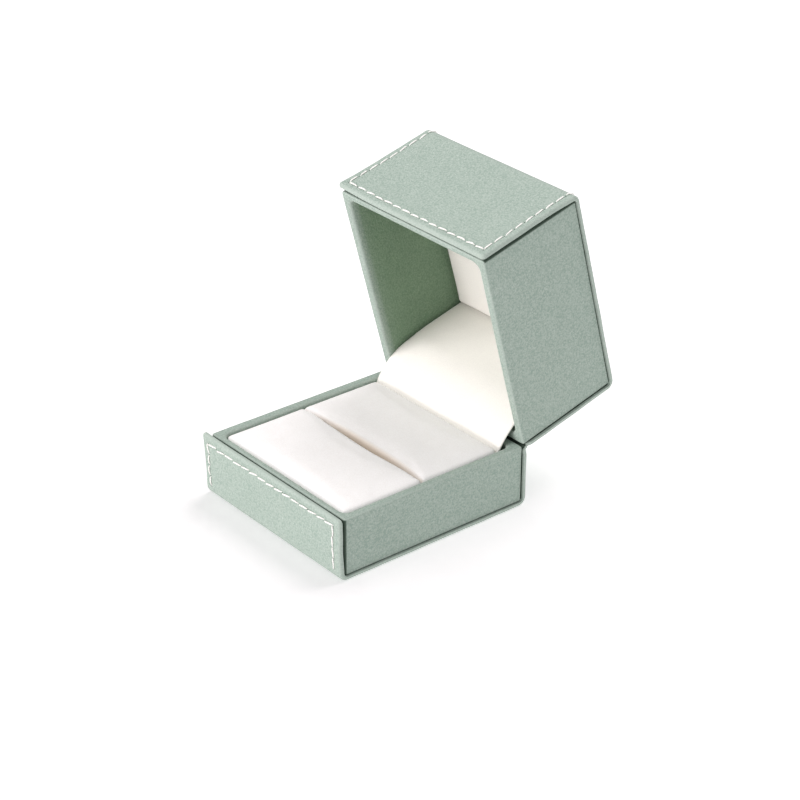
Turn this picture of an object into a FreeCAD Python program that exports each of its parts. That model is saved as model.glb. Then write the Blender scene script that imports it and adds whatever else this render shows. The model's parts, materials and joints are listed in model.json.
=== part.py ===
"""Ring box: a lined tray base and a deeper lid, both held by one folded leatherette wrap.

Frame: origin at the centre of the underside, X across the box, Y from the front (-Y) to the
hinge (+Y), Z up. The box is modelled at rest with the lid standing open on its stop. Lid pieces
are drawn as if the lid were shut and their placement swings them back about the hinge line.
All lengths are millimetres.
"""

import FreeCAD, Part
import Sketcher
import math
import os
import re

TOUCH = 1e-4    # two coordinates this close are the same, mm
NOTHING = 1e-6  # a volume this small is none, mm3

doc = FreeCAD.newDocument("RingBox")
sheet = doc.addObject("Spreadsheet::Sheet", "Sizes")

# ---------------------------------------------------------------- driving sizes

SIZES = [
    ("box_width", 60.0, "overall width, edge to edge of the wrap"),
    ("box_depth", 64.0, "overall depth of the shut box"),
    ("base_height", 18.2, "underside to hinge line"),
    ("lid_height", 33.8, "hinge line to top of the shut lid"),
    ("open_angle", 74.8, "swing of the lid from shut to its stop, degrees"),
    ("rim_gap", 0.15, "each rim stops this far short of the hinge plane"),
    ("leather_thickness", 0.4, "leatherette of wrap and linings"),
    ("wrap_board", 0.8, "greyboard inside the wrap"),
    ("edge_overhang", 0.8, "wrap edge beyond the side walls, also its turned edge"),
    ("fold_radius", 2.5, "outside radius of the wrap's folds"),
    ("fold_clearance", 0.1, "board end to the start of a fold"),
    ("hinge_setback", 1.25, "hinge line in front of the rear face"),
    ("crease_gap", 1.3, "board end to hinge plane at the spine"),
    ("tray_board", 1.9, "greyboard of walls and floors"),
    ("outer_corner", 1.0, "outside radius of the tray's upright corners"),
    ("inner_corner", 2.2, "inside radius of the tray's upright corners"),
    ("rim_radius", 0.9, "rounding of the lined rim"),
    ("base_lining_depth", 8.0, "turn-in of the base lining below its rim"),
    ("tray_heel", 1.5, "rounding of the tray's long bottom edges"),
    ("core_heel", 1.1, "the same on the board inside"),
    ("fit_gap", 0.3, "clearance of loose inserts to the walls"),
    ("card_thickness", 1.0, "insert cards"),
    ("suede_thickness", 0.5, "suede over the pads"),
    ("foam_play", 0.02, "foam to the suede over it"),
    ("pad_edge_drop", 0.9, "hinge plane down to the pads' upper edges"),
    ("pad_crown", 1.3, "rise of a pad's crown above its edges"),
    ("pad_corner", 2.0, "upright corner radius of the pads"),
    ("pad_round", 1.8, "rounding of the pads' upper edges"),
    ("slot_setback", 1.4, "ring slot in front of the box centre"),
    ("slot_width", 0.6, "ring slot between the two pads"),
    ("strip_thickness", 0.6, "backed suede strip over the hinge"),
    ("strip_side_gap", 0.6, "strip edge to the lined side wall"),
    ("strip_setback", 4.3, "rear of the lined room to the front face of the strip's leg"),
    ("strip_foot_rise", 1.9, "floor of the tray to the lower end of the strip"),
    ("strip_lean", 64.0, "slope where the strip's two bends meet, degrees"),
    ("strip_low_bend", 8.0, "front radius of the strip's lower bend"),
    ("strip_high_bend", 22.4, "front radius of the strip's upper bend"),
    ("strip_lid_inset", 7.6, "strip's front face in front of the hinge, in the lid"),
    ("strip_tuck", 2.0, "strip end beyond the liner's face"),
    ("strip_card_gap", 0.1, "strip to the card behind it"),
    ("anchor_height", 9.3, "height of the card behind the strip's leg"),
    ("lid_card_start", 10.6, "hinge line to the lid card behind the strip"),
    ("liner_depth", 27.0, "hinge line to the liner's face"),
    ("liner_round", 1.4, "rounding of the liner's face edges"),
    ("hinge_length", 30.0, "length of the row of knuckles"),
    ("knuckle_count", 5.0, "knuckles in the row, odd"),
    ("knuckle_gap", 0.2, "axial gap between knuckles"),
    ("knuckle_radius", 0.8, "outside radius of a knuckle"),
    ("pin_radius", 0.4, "hinge pin radius"),
    ("pin_clearance", 0.03, "radial clearance of pin in knuckle"),
    ("pin_overrun", 0.5, "pin beyond the knuckles at each end"),
    ("leaf_thickness", 0.45, "steel of the hinge leaves"),
    ("leaf_drop", 7.0, "height of a leaf on its wall"),
    ("leaf_seat", 1.1, "hinge line to the notched wall that carries the leaf"),
    ("notch_play", 0.3, "notch beyond the ends of the leaf"),
    ("knuckle_relief", 0.15, "leaf edge clear of the moving knuckles"),
    ("tack_shank", 0.5, "radius of a tack's shank"),
    ("tack_head", 1.0, "radius of a tack's head"),
    ("tack_head_height", 0.4, "height of a tack's head"),
    ("tack_length", 1.9, "shank length under the head"),
    ("tack_level", 5.0, "hinge line to the row of tacks"),
    ("tack_margin", 1.4, "outer tack in from the end of its leaf"),
    ("tack_spacing", 8.6, "outer tack to the next one"),
    ("spring_thickness", 0.3, "flat spring steel"),
    ("spring_width", 4.6, "width of a bow spring"),
    ("spring_margin", 5.6, "spring centre in from the end of the hinge"),
    ("spring_reach", 3.0, "hinge line to the middle of the bow"),
    ("spring_foot_level", 5.2, "hinge line to a spring foot"),
    ("spring_foot_gap", 0.05, "spring foot off its leaf"),
    ("stitch_pitch", 3.6, "one stitch to the next"),
    ("stitch_length", 2.7, "visible length of a stitch"),
    ("stitch_radius", 0.25, "half the thread's width"),
    ("stitch_inset", 2.3, "stitch line to the wrap's edge"),
    ("stitch_margin", 0.5, "end of a stitch row to a fold"),
]

for row, (alias, number, meaning) in enumerate(SIZES, start=1):
    sheet.set(f"A{row}", alias)
    sheet.set(f"B{row}", str(number))
    sheet.set(f"C{row}", meaning)
    sheet.setAlias(f"B{row}", alias)
doc.recompute()

ALIASES = {alias for alias, number, meaning in SIZES}


def qualified(text):
    """Write a formula of aliases as an expression of the sheet."""
    return re.sub(r"[a-z_]+", lambda found: "Sizes." + found.group()
                  if found.group() in ALIASES else found.group(), text)


def value(text):
    """Number that a formula of aliases stands for."""
    return float(sheet.evalExpression(qualified(text)))


def bind(target, prop, text):
    """Tie one property to a formula of aliases."""
    target.setExpression(prop, qualified(text))


# ---------------------------------------------------------------- formulas shared by the pieces

WRAP = "(leather_thickness + wrap_board)"
WALL = "(tray_board + 2 * leather_thickness)"
HALF_WIDTH = "(box_width / 2)"
HALF_DEPTH = "(box_depth / 2)"
TRAY_HALF_WIDTH = f"({HALF_WIDTH} - edge_overhang)"
TRAY_HALF_DEPTH = f"({HALF_DEPTH} - {WRAP})"
ROOM_HALF_WIDTH = f"({TRAY_HALF_WIDTH} - {WALL})"
ROOM_HALF_DEPTH = f"({TRAY_HALF_DEPTH} - {WALL})"
HINGE_Y = f"({HALF_DEPTH} - hinge_setback)"
FLOOR_TOP = f"({WRAP} + tray_board)"
SLOT_Y = "(-slot_setback)"
STRIP_LEG = f"({ROOM_HALF_DEPTH} - strip_setback)"
LEAF_FACE = f"({ROOM_HALF_DEPTH} - leaf_thickness)"
TACK_OUTER = "(hinge_length / 2 - tack_margin)"
TACK_INNER = f"({TACK_OUTER} - tack_spacing)"
TACK_PLACES = [f"(-{TACK_OUTER})", f"(-{TACK_INNER})", TACK_INNER, TACK_OUTER]
SPRING_PLACE = "(hinge_length / 2 - spring_margin)"
KNUCKLE_LENGTH = "((hinge_length - (knuckle_count - 1) * knuckle_gap) / knuckle_count)"


def level(side, distance):
    """Height of a plane that lies a distance away from the hinge plane, in the base or the lid."""
    sign = "-" if side == "base" else "+"
    return f"(base_height {sign} ({distance}))"


def height(side):
    """Alias of the height from hinge plane to outer panel."""
    return "base_height" if side == "base" else "lid_height"


# ---------------------------------------------------------------- bodies, sketches, features

def swing_back(piece):
    """Place a lid piece, drawn shut, in its open rest position about the hinge line."""
    piece.Placement = FreeCAD.Placement(
        FreeCAD.Vector(0, 0, 0), FreeCAD.Rotation(FreeCAD.Vector(1, 0, 0), -value("open_angle")))
    angle = "open_angle * 1deg"
    bind(piece, "Placement.Rotation.Angle", f"-{angle}")
    bind(piece, "Placement.Base.y", f"{HINGE_Y} * (1 - cos({angle})) - base_height * sin({angle})")
    bind(piece, "Placement.Base.z", f"base_height * (1 - cos({angle})) + {HINGE_Y} * sin({angle})")


def swing_placement():
    """The same swing as numbers, for pieces that are not bodies."""
    turn = FreeCAD.Rotation(FreeCAD.Vector(1, 0, 0), -value("open_angle"))
    hinge = FreeCAD.Vector(0, value(HINGE_Y), value("base_height"))
    return FreeCAD.Placement(hinge - turn.multVec(hinge), turn)


def new_body(name, side="base"):
    """Empty body of one node."""
    body = doc.addObject("PartDesign::Body", name)
    body.Label = name
    if side == "lid":
        swing_back(body)
    return body


def new_sketch(body, name, plane, offset="0"):
    """Sketch on one of the body's origin planes, moved along its normal by a formula."""
    sketch = body.newObject("Sketcher::SketchObject", f"{body.Name}_{name}")
    support = [face for face in body.Origin.OriginFeatures if face.Role == plane][0]
    sketch.AttachmentSupport = [(support, "")]
    sketch.MapMode = "FlatFace"
    sketch.AttachmentOffset = FreeCAD.Placement(
        FreeCAD.Vector(0, 0, value(offset)), FreeCAD.Rotation())
    bind(sketch, "AttachmentOffset.Base.z", offset)
    return sketch


def pin_point(sketch, geometry, end, across, up):
    """Fix one point of the sketch by its two distances from the sketch origin."""
    for kind, text in (("DistanceX", across), ("DistanceY", up)):
        number = sketch.addConstraint(
            Sketcher.Constraint(kind, -1, 1, geometry, end, value(text)))
        bind(sketch, f"Constraints[{number}]", text)


def outline(sketch, corners, bends=None):
    """Closed outline through corners; bends gives the radius and side of the runs that are arcs."""
    bends = bends or {}
    first = sketch.GeometryCount
    points = [FreeCAD.Vector(value(across), value(up), 0) for across, up in corners]
    count = len(points)
    starts = []
    for index, start in enumerate(points):
        end = points[(index + 1) % count]
        if index in bends:
            middle = arc_middle(start, end, *bends[index])
            sketch.addGeometry(Part.Arc(start, middle, end), False)
        else:
            sketch.addGeometry(Part.LineSegment(start, end), False)
        at_start = sketch.getPoint(first + index, 1).distanceToPoint(start) < TOUCH
        starts.append(1 if at_start else 2)
    for index, (across, up) in enumerate(corners):
        following = (index + 1) % count
        sketch.addConstraint(Sketcher.Constraint(
            "Coincident", first + index, 3 - starts[index], first + following, starts[following]))
        pin_point(sketch, first + index, starts[index], across, up)
    for index, (radius, side) in bends.items():
        number = sketch.addConstraint(
            Sketcher.Constraint("Radius", first + index, value(radius)))
        bind(sketch, f"Constraints[{number}]", radius)


def arc_middle(start, end, radius, side):
    """Middle of an arc between two points that bulges to the left (1) or right (-1) of its chord."""
    chord = end - start
    half = chord.Length / 2
    normal = FreeCAD.Vector(-chord.y, chord.x, 0).normalize() * side
    return (start + end) * 0.5 + normal * (value(radius) - math.sqrt(value(radius) ** 2 - half ** 2))


def rectangle(sketch, left, right, low, high):
    """Closed rectangle between four formulas."""
    outline(sketch, [(left, low), (right, low), (right, high), (left, high)])


def rounded_rectangle(sketch, half_across, half_up, radius):
    """Rectangle about the sketch origin with four equal corner arcs."""
    across, up = f"({half_across} - {radius})", f"({half_up} - {radius})"
    outline(sketch, [(f"-{across}", f"-{half_up}"), (across, f"-{half_up}"),
                     (half_across, f"-{up}"), (half_across, up),
                     (across, half_up), (f"-{across}", half_up),
                     (f"-{half_across}", up), (f"-{half_across}", f"-{up}")],
            {index: (radius, -1) for index in (1, 3, 5, 7)})


def circle(sketch, across, up, radius):
    """Circle with its centre and radius tied to formulas."""
    centre = FreeCAD.Vector(value(across), value(up), 0)
    number = sketch.addGeometry(
        Part.Circle(centre, FreeCAD.Vector(0, 0, 1), value(radius)), False)
    pin_point(sketch, number, 3, across, up)
    constraint = sketch.addConstraint(Sketcher.Constraint("Radius", number, value(radius)))
    bind(sketch, f"Constraints[{constraint}]", radius)


def extrusion(body, kind, name, sketch, length, reverse=False, both_ways=False):
    """Pad or Pocket of a sketch; a feature that changes no volume is an error."""
    before = body.Shape.Volume if body.Tip else 0.0
    feature = body.newObject(f"PartDesign::{kind}", f"{body.Name}_{name}")
    feature.Profile = sketch
    bind(feature, "Length", length)
    feature.Reversed = reverse
    feature.Midplane = both_ways
    doc.recompute()
    change = body.Shape.Volume - before
    gain = change if kind == "Pad" else -change
    if gain < NOTHING:
        raise RuntimeError(f"{feature.Name} changed the volume by {change}")
    return feature


def pad(body, name, sketch, length, **choice):
    """Add material along a sketch's normal."""
    return extrusion(body, "Pad", name, sketch, length, **choice)


def pocket(body, name, sketch, length, **choice):
    """Remove material against a sketch's normal."""
    return extrusion(body, "Pocket", name, sketch, length, **choice)


def round_edges(body, name, radius, chosen):
    """Fillet the edges of the body's tip that a test picks."""
    tip = body.Tip
    names = [f"Edge{index}" for index, edge in enumerate(tip.Shape.Edges, start=1) if chosen(edge)]
    if not names:
        raise RuntimeError(f"{body.Name} has no edge for {name}")
    fillet = body.newObject("PartDesign::Fillet", f"{body.Name}_{name}")
    fillet.Base = (tip, names)
    bind(fillet, "Radius", radius)
    doc.recompute()
    return fillet


def near(one, other):
    """Two lengths that are the same."""
    return abs(one - other) < TOUCH


def runs_along(edge, axis):
    """Straight edge parallel to the axis, named x, y or z."""
    if edge.Curve.TypeId != "Part::GeomLine":
        return False
    first, last = edge.Vertexes[0].Point, edge.Vertexes[-1].Point
    return all(near(getattr(first, other), getattr(last, other))
               for other in "xyz" if other != axis)


def lies_at(edge, axis, place):
    """Every point of the edge has this coordinate."""
    box = edge.BoundBox
    low, high = getattr(box, axis.upper() + "Min"), getattr(box, axis.upper() + "Max")
    return near(low, place) and near(high, place)


def slab(name, side, half_width, front, back, near_plane, far_plane):
    """Flat board or card between two distances from the hinge plane."""
    body = new_body(name, side)
    sketch = new_sketch(body, "plan", "XY_Plane", level(side, near_plane))
    rectangle(sketch, f"-{half_width}", half_width, front, back)
    pad(body, "board", sketch, f"({far_plane}) - ({near_plane})", reverse=(side == "base"))
    return body


# ---------------------------------------------------------------- trays

CORE_HALF_WIDTH = f"({TRAY_HALF_WIDTH} - leather_thickness)"
CORE_HALF_DEPTH = f"({TRAY_HALF_DEPTH} - leather_thickness)"
CORE_ROOM_WIDTH = f"({ROOM_HALF_WIDTH} + leather_thickness)"
CORE_ROOM_DEPTH = f"({ROOM_HALF_DEPTH} + leather_thickness)"
CORE_CORNER = "(outer_corner - leather_thickness)"
CORE_ROOM_CORNER = "(inner_corner + leather_thickness)"
CORE_RIM = "(rim_gap + leather_thickness)"


def panel(side):
    """Distance from the hinge plane to the tray's closed side."""
    return f"({height(side)} - {WRAP})"


def hinge_notch(body, side):
    """Lower the rear wall where the hinge leaf and knuckles cross it."""
    sketch = new_sketch(body, "notch_plan", "XY_Plane", level(side, "0"))
    half = "(hinge_length / 2 + notch_play)"
    rectangle(sketch, f"-{half}", half, LEAF_FACE, f"({TRAY_HALF_DEPTH} + {WRAP})")
    pocket(body, "notch", sketch, "leaf_seat", reverse=(side == "lid"))


def tack_holes(body, side, depth):
    """Holes for the tacks, from the room side of the rear wall."""
    for index, place in enumerate(TACK_PLACES):
        sketch = new_sketch(body, f"tack_place{index}", "XZ_Plane", f"-{LEAF_FACE}")
        circle(sketch, place, level(side, "tack_level"), "tack_shank")
        pocket(body, f"tack_hole{index}", sketch, depth)


def round_heels(body, side, radius):
    """Round the two long outer edges of the closed side, which lie in the wrap's folds."""
    closed = value(level(side, panel(side)))
    front = max(abs(body.Tip.Shape.BoundBox.YMin), abs(body.Tip.Shape.BoundBox.YMax))
    round_edges(body, "heels", radius, lambda edge: runs_along(edge, "x")
                and lies_at(edge, "z", closed) and near(abs(edge.Vertexes[0].Y), front))


def tray_core(side):
    """Greyboard tray: four walls and a floor, or a top in the lid."""
    body = new_body(f"{side}_tray_core", side)
    block = new_sketch(body, "block_plan", "XY_Plane", level(side, CORE_RIM))
    rounded_rectangle(block, CORE_HALF_WIDTH, CORE_HALF_DEPTH, CORE_CORNER)
    pad(body, "block", block, f"{panel(side)} - {CORE_RIM}", reverse=(side == "base"))
    round_heels(body, side, "core_heel")
    room = new_sketch(body, "room_plan", "XY_Plane", level(side, CORE_RIM))
    rounded_rectangle(room, CORE_ROOM_WIDTH, CORE_ROOM_DEPTH, CORE_ROOM_CORNER)
    pocket(body, "room", room, f"{panel(side)} - tray_board - {CORE_RIM}",
           reverse=(side == "lid"))
    hinge_notch(body, side)
    tack_holes(body, side, "tack_length")
    return body


def tray_cover(side, lining_depth):
    """Leatherette over the tray: outside, over the rim and down inside to a lining depth."""
    body = new_body(f"{side}_tray_cover", side)
    whole = f"({panel(side)} - rim_gap)"
    block = new_sketch(body, "block_plan", "XY_Plane", level(side, "rim_gap"))
    rounded_rectangle(block, TRAY_HALF_WIDTH, TRAY_HALF_DEPTH, "outer_corner")
    pad(body, "block", block, whole, reverse=(side == "base"))
    round_heels(body, side, "tray_heel")
    room = new_sketch(body, "room_plan", "XY_Plane", level(side, "rim_gap"))
    rounded_rectangle(room, ROOM_HALF_WIDTH, ROOM_HALF_DEPTH, "inner_corner")
    pocket(body, "room", room, whole, reverse=(side == "lid"))
    rim = value(level(side, "rim_gap"))
    round_edges(body, "rim", "rim_radius", lambda edge: lies_at(edge, "z", rim))
    ring = new_sketch(body, "ring_plan", "XY_Plane", level(side, panel(side)))
    rounded_rectangle(ring, CORE_HALF_WIDTH, CORE_HALF_DEPTH, CORE_CORNER)
    rounded_rectangle(ring, CORE_ROOM_WIDTH, CORE_ROOM_DEPTH, CORE_ROOM_CORNER)
    pocket(body, "board_room", ring, f"{panel(side)} - {CORE_RIM}", reverse=(side == "base"))
    trim = new_sketch(body, "lining_plan", "XY_Plane", level(side, panel(side)))
    rounded_rectangle(trim, CORE_ROOM_WIDTH, CORE_ROOM_DEPTH, CORE_ROOM_CORNER)
    pocket(body, "lining_end", trim, f"{panel(side)} - rim_gap - {lining_depth}",
           reverse=(side == "base"))
    hinge_notch(body, side)
    tack_holes(body, side, "tack_length")
    return body


# ---------------------------------------------------------------- wrap

def wrap_path(side, inset, flap_end, spine_end):
    """Outer run of the wrap from flap to spine, moved inwards by a thickness."""
    far = f"({HALF_DEPTH} - {inset})"
    bend = f"(fold_radius - {inset})"
    flat = f"({HALF_DEPTH} - fold_radius)"
    fold = level(side, f"{height(side)} - fold_radius")
    outside = level(side, f"{height(side)} - {inset}")
    turn = -1 if side == "lid" else 1
    corners = [(f"-{far}", level(side, flap_end)), (f"-{far}", fold), (f"-{flat}", outside),
               (flat, outside), (far, fold), (far, level(side, spine_end))]
    return corners, {1: (bend, -turn), 3: (bend, -turn)}


def wrap_leather(side):
    """Leatherette of the wrap: front flap, outer panel and back in one folded strip."""
    body = new_body(f"{side}_wrap_leather", side)
    outer, bends = wrap_path(side, "0", "rim_gap", "crease_gap")
    inner, inner_bends = wrap_path(side, WRAP, "rim_gap", "crease_gap")
    inner.reverse()
    count = len(outer)
    bends.update({count + index: (radius, -turn)
                  for index, (radius, turn) in inner_bends.items()})
    profile = new_sketch(body, "profile", "YZ_Plane")
    outline(profile, outer + inner, bends)
    pad(body, "strip", profile, "box_width", both_ways=True)
    edge, flap = value(HALF_WIDTH), value(level(side, "rim_gap"))
    round_edges(body, "turned_edges", "leather_thickness",
                lambda one: lies_at(one, "x", edge) or lies_at(one, "x", -edge)
                or (runs_along(one, "x") and lies_at(one, "z", flap)))
    board_end = "(rim_gap + leather_thickness)"
    skin, skin_bends = wrap_path(side, "leather_thickness", board_end, "0")
    channel = new_sketch(body, "channel", "YZ_Plane")
    outline(channel, skin + [("0", level(side, "0")), ("0", level(side, board_end))], skin_bends)
    pocket(body, "boards", channel, f"2 * {TRAY_HALF_WIDTH}", both_ways=True)
    return body


def wrap_boards(side, outer_name):
    """The three boards glued between the wrap's leatherette and the tray."""
    start = "(fold_radius + fold_clearance)"
    reach = f"({height(side)} - {start})"
    outer_face = f"({HALF_DEPTH} - leather_thickness)"
    slab(f"{side}_front_board", side, TRAY_HALF_WIDTH, f"-{outer_face}", f"-{TRAY_HALF_DEPTH}",
         "(rim_gap + leather_thickness)", reach)
    slab(f"{side}_{outer_name}_board", side, TRAY_HALF_WIDTH, f"-({HALF_DEPTH} - {start})",
         f"({HALF_DEPTH} - {start})", panel(side), f"({height(side)} - leather_thickness)")
    slab(f"{side}_back_board", side, TRAY_HALF_WIDTH, TRAY_HALF_DEPTH, outer_face,
         "crease_gap", reach)


def spine_crease():
    """Leatherette that joins both wraps and folds inwards along the hinge line."""
    body = new_body("spine_crease")
    turn = "open_angle * 1deg"
    inner = "(hinge_setback - leather_thickness)"

    def base_end(reach):
        return f"{HINGE_Y} + {reach}", level("base", "crease_gap")

    def lid_end(reach):
        return (f"{HINGE_Y} + {reach} * cos({turn}) + crease_gap * sin({turn})",
                f"base_height - {reach} * sin({turn}) + crease_gap * cos({turn})")

    def valley(reach):
        return f"{HINGE_Y} + {reach}", f"base_height - {reach} * tan({turn} / 2)"

    profile = new_sketch(body, "profile", "YZ_Plane")
    outline(profile, [base_end("hinge_setback"), valley("hinge_setback"),
                      lid_end("hinge_setback"), lid_end(inner), valley(inner), base_end(inner)])
    pad(body, "crease", profile, "box_width", both_ways=True)
    return body


# ---------------------------------------------------------------- stitching

def thread(centre, along, normal):
    """One visible stitch: a half-round length of thread lying on the leatherette."""
    length, radius = value("stitch_length"), value("stitch_radius")
    half_turn = 180
    half_round = Part.makeCylinder(
        radius, length, FreeCAD.Vector(), FreeCAD.Vector(0, 0, 1), half_turn)
    across = normal.cross(along)
    turn = FreeCAD.Rotation(across, normal, along, "ZYX")
    half_round.Placement = FreeCAD.Placement(centre - along * (length / 2), turn)
    return half_round


def stitch_run(start, end, normal):
    """Evenly spaced stitches that fill a straight row."""
    run = end - start
    pitch = value("stitch_pitch")
    count = int(run.Length // pitch)
    along = FreeCAD.Vector(run).normalize()
    first = (run.Length - (count - 1) * pitch) / 2
    return [thread(start + along * (first + index * pitch), along, normal)
            for index in range(count)]


def stitching(side):
    """All visible rows of one wrap half, sewn round its edge."""
    point = FreeCAD.Vector
    inset = value("stitch_inset")
    edge = value(HALF_WIDTH) - inset
    front = value(HALF_DEPTH)
    flap = value(level(side, "rim_gap + stitch_inset"))
    fold = value(level(side, f"{height(side)} - fold_radius - stitch_margin"))
    spine = value(level(side, "crease_gap + stitch_margin"))
    rows = stitch_run(point(-edge, -front, flap), point(edge, -front, flap), point(0, -1, 0))
    for place in (-edge, edge):
        rows += stitch_run(point(place, -front, flap), point(place, -front, fold), point(0, -1, 0))
        rows += stitch_run(point(place, front, fold), point(place, front, spine), point(0, 1, 0))
        if side == "lid":
            top = value(level("lid", "lid_height"))
            reach = front - value("fold_radius + stitch_margin")
            rows += stitch_run(point(place, -reach, top), point(place, reach, top), point(0, 0, 1))
    return make_feature(f"{side}_stitching", Part.makeCompound(rows), side)


def make_feature(name, shape, side="base"):
    """Node whose shape is computed here from the sheet's sizes."""
    feature = doc.addObject("Part::Feature", name)
    feature.Label = name
    feature.Shape = shape
    if side == "lid":
        feature.Placement = swing_placement()
    return feature


# ---------------------------------------------------------------- cushion

PAD_FLOOR = f"({FLOOR_TOP} + card_thickness)"
PAD_FRONT = f"(-({ROOM_HALF_DEPTH} - fit_gap))"
PAD_REAR = f"({STRIP_LEG} - fit_gap)"
PAD_EDGE = "(base_height - pad_edge_drop)"
SLOT_FRONT = f"({SLOT_Y} - slot_width / 2)"
SLOT_REAR = f"({SLOT_Y} + slot_width / 2)"
INSERT_HALF_WIDTH = f"({ROOM_HALF_WIDTH} - fit_gap)"


def crowned_block(name, front, rear, inset):
    """Pad with a crowned top and soft edges, made smaller all round by an inset."""
    body = new_body(name)
    span = f"({rear} - {front})"
    crown = f"(({span} ^ 2 / 4 + pad_crown ^ 2) / (2 * pad_crown))"
    centre = f"({PAD_EDGE} + pad_crown - {crown})"
    radius = f"({crown} - {inset})"
    edge = f"({centre} + sqrt({radius} ^ 2 - ({span} / 2 - {inset}) ^ 2))"
    profile = new_sketch(body, "profile", "YZ_Plane")
    outline(profile, [(f"{front} + {inset}", PAD_FLOOR), (f"{rear} - {inset}", PAD_FLOOR),
                      (f"{rear} - {inset}", edge), (f"{front} + {inset}", edge)],
            {2: (radius, -1)})
    pad(body, "block", profile, f"2 * ({INSERT_HALF_WIDTH} - {inset})", both_ways=True)
    round_edges(body, "corners", f"pad_corner - {inset}", lambda one: runs_along(one, "z"))
    wall_top = value(f"{PAD_EDGE} - pad_round")
    round_edges(body, "crown_edges", f"pad_round - {inset}",
                lambda one: one.BoundBox.ZMin > wall_top)
    return body


def hollow(body, thickness, open_face):
    """Turn a block into a skin with one open face."""
    tip = body.Tip
    names = [f"Face{index}" for index, face in enumerate(tip.Shape.Faces, start=1)
             if near(face.BoundBox.ZMin, open_face) and near(face.BoundBox.ZMax, open_face)]
    skin = body.newObject("PartDesign::Thickness", f"{body.Name}_skin")
    skin.Base = (tip, names)
    bind(skin, "Value", thickness)
    skin.Reversed = True
    skin.Mode = 0
    skin.Join = 0
    doc.recompute()
    return skin


def cushion():
    """Card, two foam pads with the ring slot between them, and their suede covers."""
    card = slab("cushion_card", "base", INSERT_HALF_WIDTH, PAD_FRONT, PAD_REAR,
                f"base_height - {PAD_FLOOR}", f"base_height - {FLOOR_TOP}")
    round_edges(card, "corners", "inner_corner", lambda one: runs_along(one, "z"))
    for name, front, rear in (("front_pad", PAD_FRONT, SLOT_FRONT),
                              ("rear_pad", SLOT_REAR, PAD_REAR)):
        crowned_block(f"{name}_foam", front, rear, "(suede_thickness + foam_play)")
        cover = crowned_block(f"{name}_cover", front, rear, "0")
        hollow(cover, "suede_thickness", value(PAD_FLOOR))


# ---------------------------------------------------------------- lid liner

LINER_REAR = f"({HINGE_Y} - strip_lid_inset - fit_gap)"


def liner_block(name, inset):
    """Padded panel under the lid's top, made smaller by an inset, with rounded face edges."""
    body = new_body(name, "lid")
    face = f"(liner_depth + {inset})"
    back = f"({panel('lid')} - tray_board - card_thickness)"
    plan = new_sketch(body, "plan", "XY_Plane", level("lid", back))
    half = f"({INSERT_HALF_WIDTH} - {inset})"
    rectangle(plan, f"-{half}", half, f"{PAD_FRONT} + {inset}", f"{LINER_REAR} - {inset}")
    pad(body, "panel", plan, f"{back} - {face}", reverse=True)
    round_edges(body, "corners", f"inner_corner - {inset}", lambda one: runs_along(one, "z"))
    front_face = value(level("lid", face))
    round_edges(body, "face_edges", f"liner_round - {inset}",
                lambda one: lies_at(one, "z", front_face))
    return body


def lid_liner():
    """Card, foam and suede of the panel inside the lid."""
    card = slab("lid_liner_card", "lid", INSERT_HALF_WIDTH, PAD_FRONT, LINER_REAR,
                f"({panel('lid')} - tray_board - card_thickness)",
                f"({panel('lid')} - tray_board)")
    round_edges(card, "corners", "inner_corner", lambda one: runs_along(one, "z"))
    liner_block("lid_liner_foam", "(suede_thickness + foam_play)")
    cover = liner_block("lid_liner_cover", "0")
    hollow(cover, "suede_thickness",
           value(level("lid", f"{panel('lid')} - tray_board - card_thickness")))


# ---------------------------------------------------------------- strip over the hinge

def point_at(centre, radius, angle):
    """Point of a circle in the YZ plane."""
    return FreeCAD.Vector(0, centre.y + radius * math.cos(angle),
                          centre.z + radius * math.sin(angle))


def arc_between(centre, radius, first, last):
    """Arc edge in the YZ plane between two angles."""
    middle = point_at(centre, radius, (first + last) / 2)
    return Part.Arc(point_at(centre, radius, first), middle,
                    point_at(centre, radius, last)).toShape()


def strip_edges(thickness):
    """Side line of the strip from foot to lid end, moved back by a thickness."""
    lean = math.radians(value("strip_lean"))
    slope = math.radians(90.0 - value("open_angle"))
    leg, low, high = value(STRIP_LEG), value("strip_low_bend"), value("strip_high_bend")
    hinge = FreeCAD.Vector(0, value(HINGE_Y), value("base_height"))
    off_lid = FreeCAD.Vector(0, -math.sin(slope), math.cos(slope))
    along_lid = FreeCAD.Vector(0, math.cos(slope), math.sin(slope))
    centre_y = leg + high * math.sin(lean) + low * (1 - math.sin(lean))
    reach = high - value("strip_lid_inset")
    rise = (-reach - off_lid.y * (centre_y - hinge.y)) / off_lid.z
    high_centre = FreeCAD.Vector(0, centre_y, hinge.z + rise)
    joint_angle = math.pi / 2 + lean
    low_centre = high_centre + point_at(FreeCAD.Vector(), high - low, joint_angle)
    foot = FreeCAD.Vector(0, leg + thickness, value(f"{FLOOR_TOP} + strip_foot_rise"))
    lid_end = (hinge + off_lid * (value("strip_lid_inset") - thickness)
               + along_lid * value("liner_depth + strip_tuck"))
    bend_start = point_at(low_centre, low - thickness, math.pi)
    bend_end = point_at(high_centre, high - thickness, math.pi / 2 + slope)
    return [Part.makeLine(foot, bend_start),
            arc_between(low_centre, low - thickness, math.pi, joint_angle),
            arc_between(high_centre, high - thickness, joint_angle, math.pi / 2 + slope),
            Part.makeLine(bend_end, lid_end)]


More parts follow.
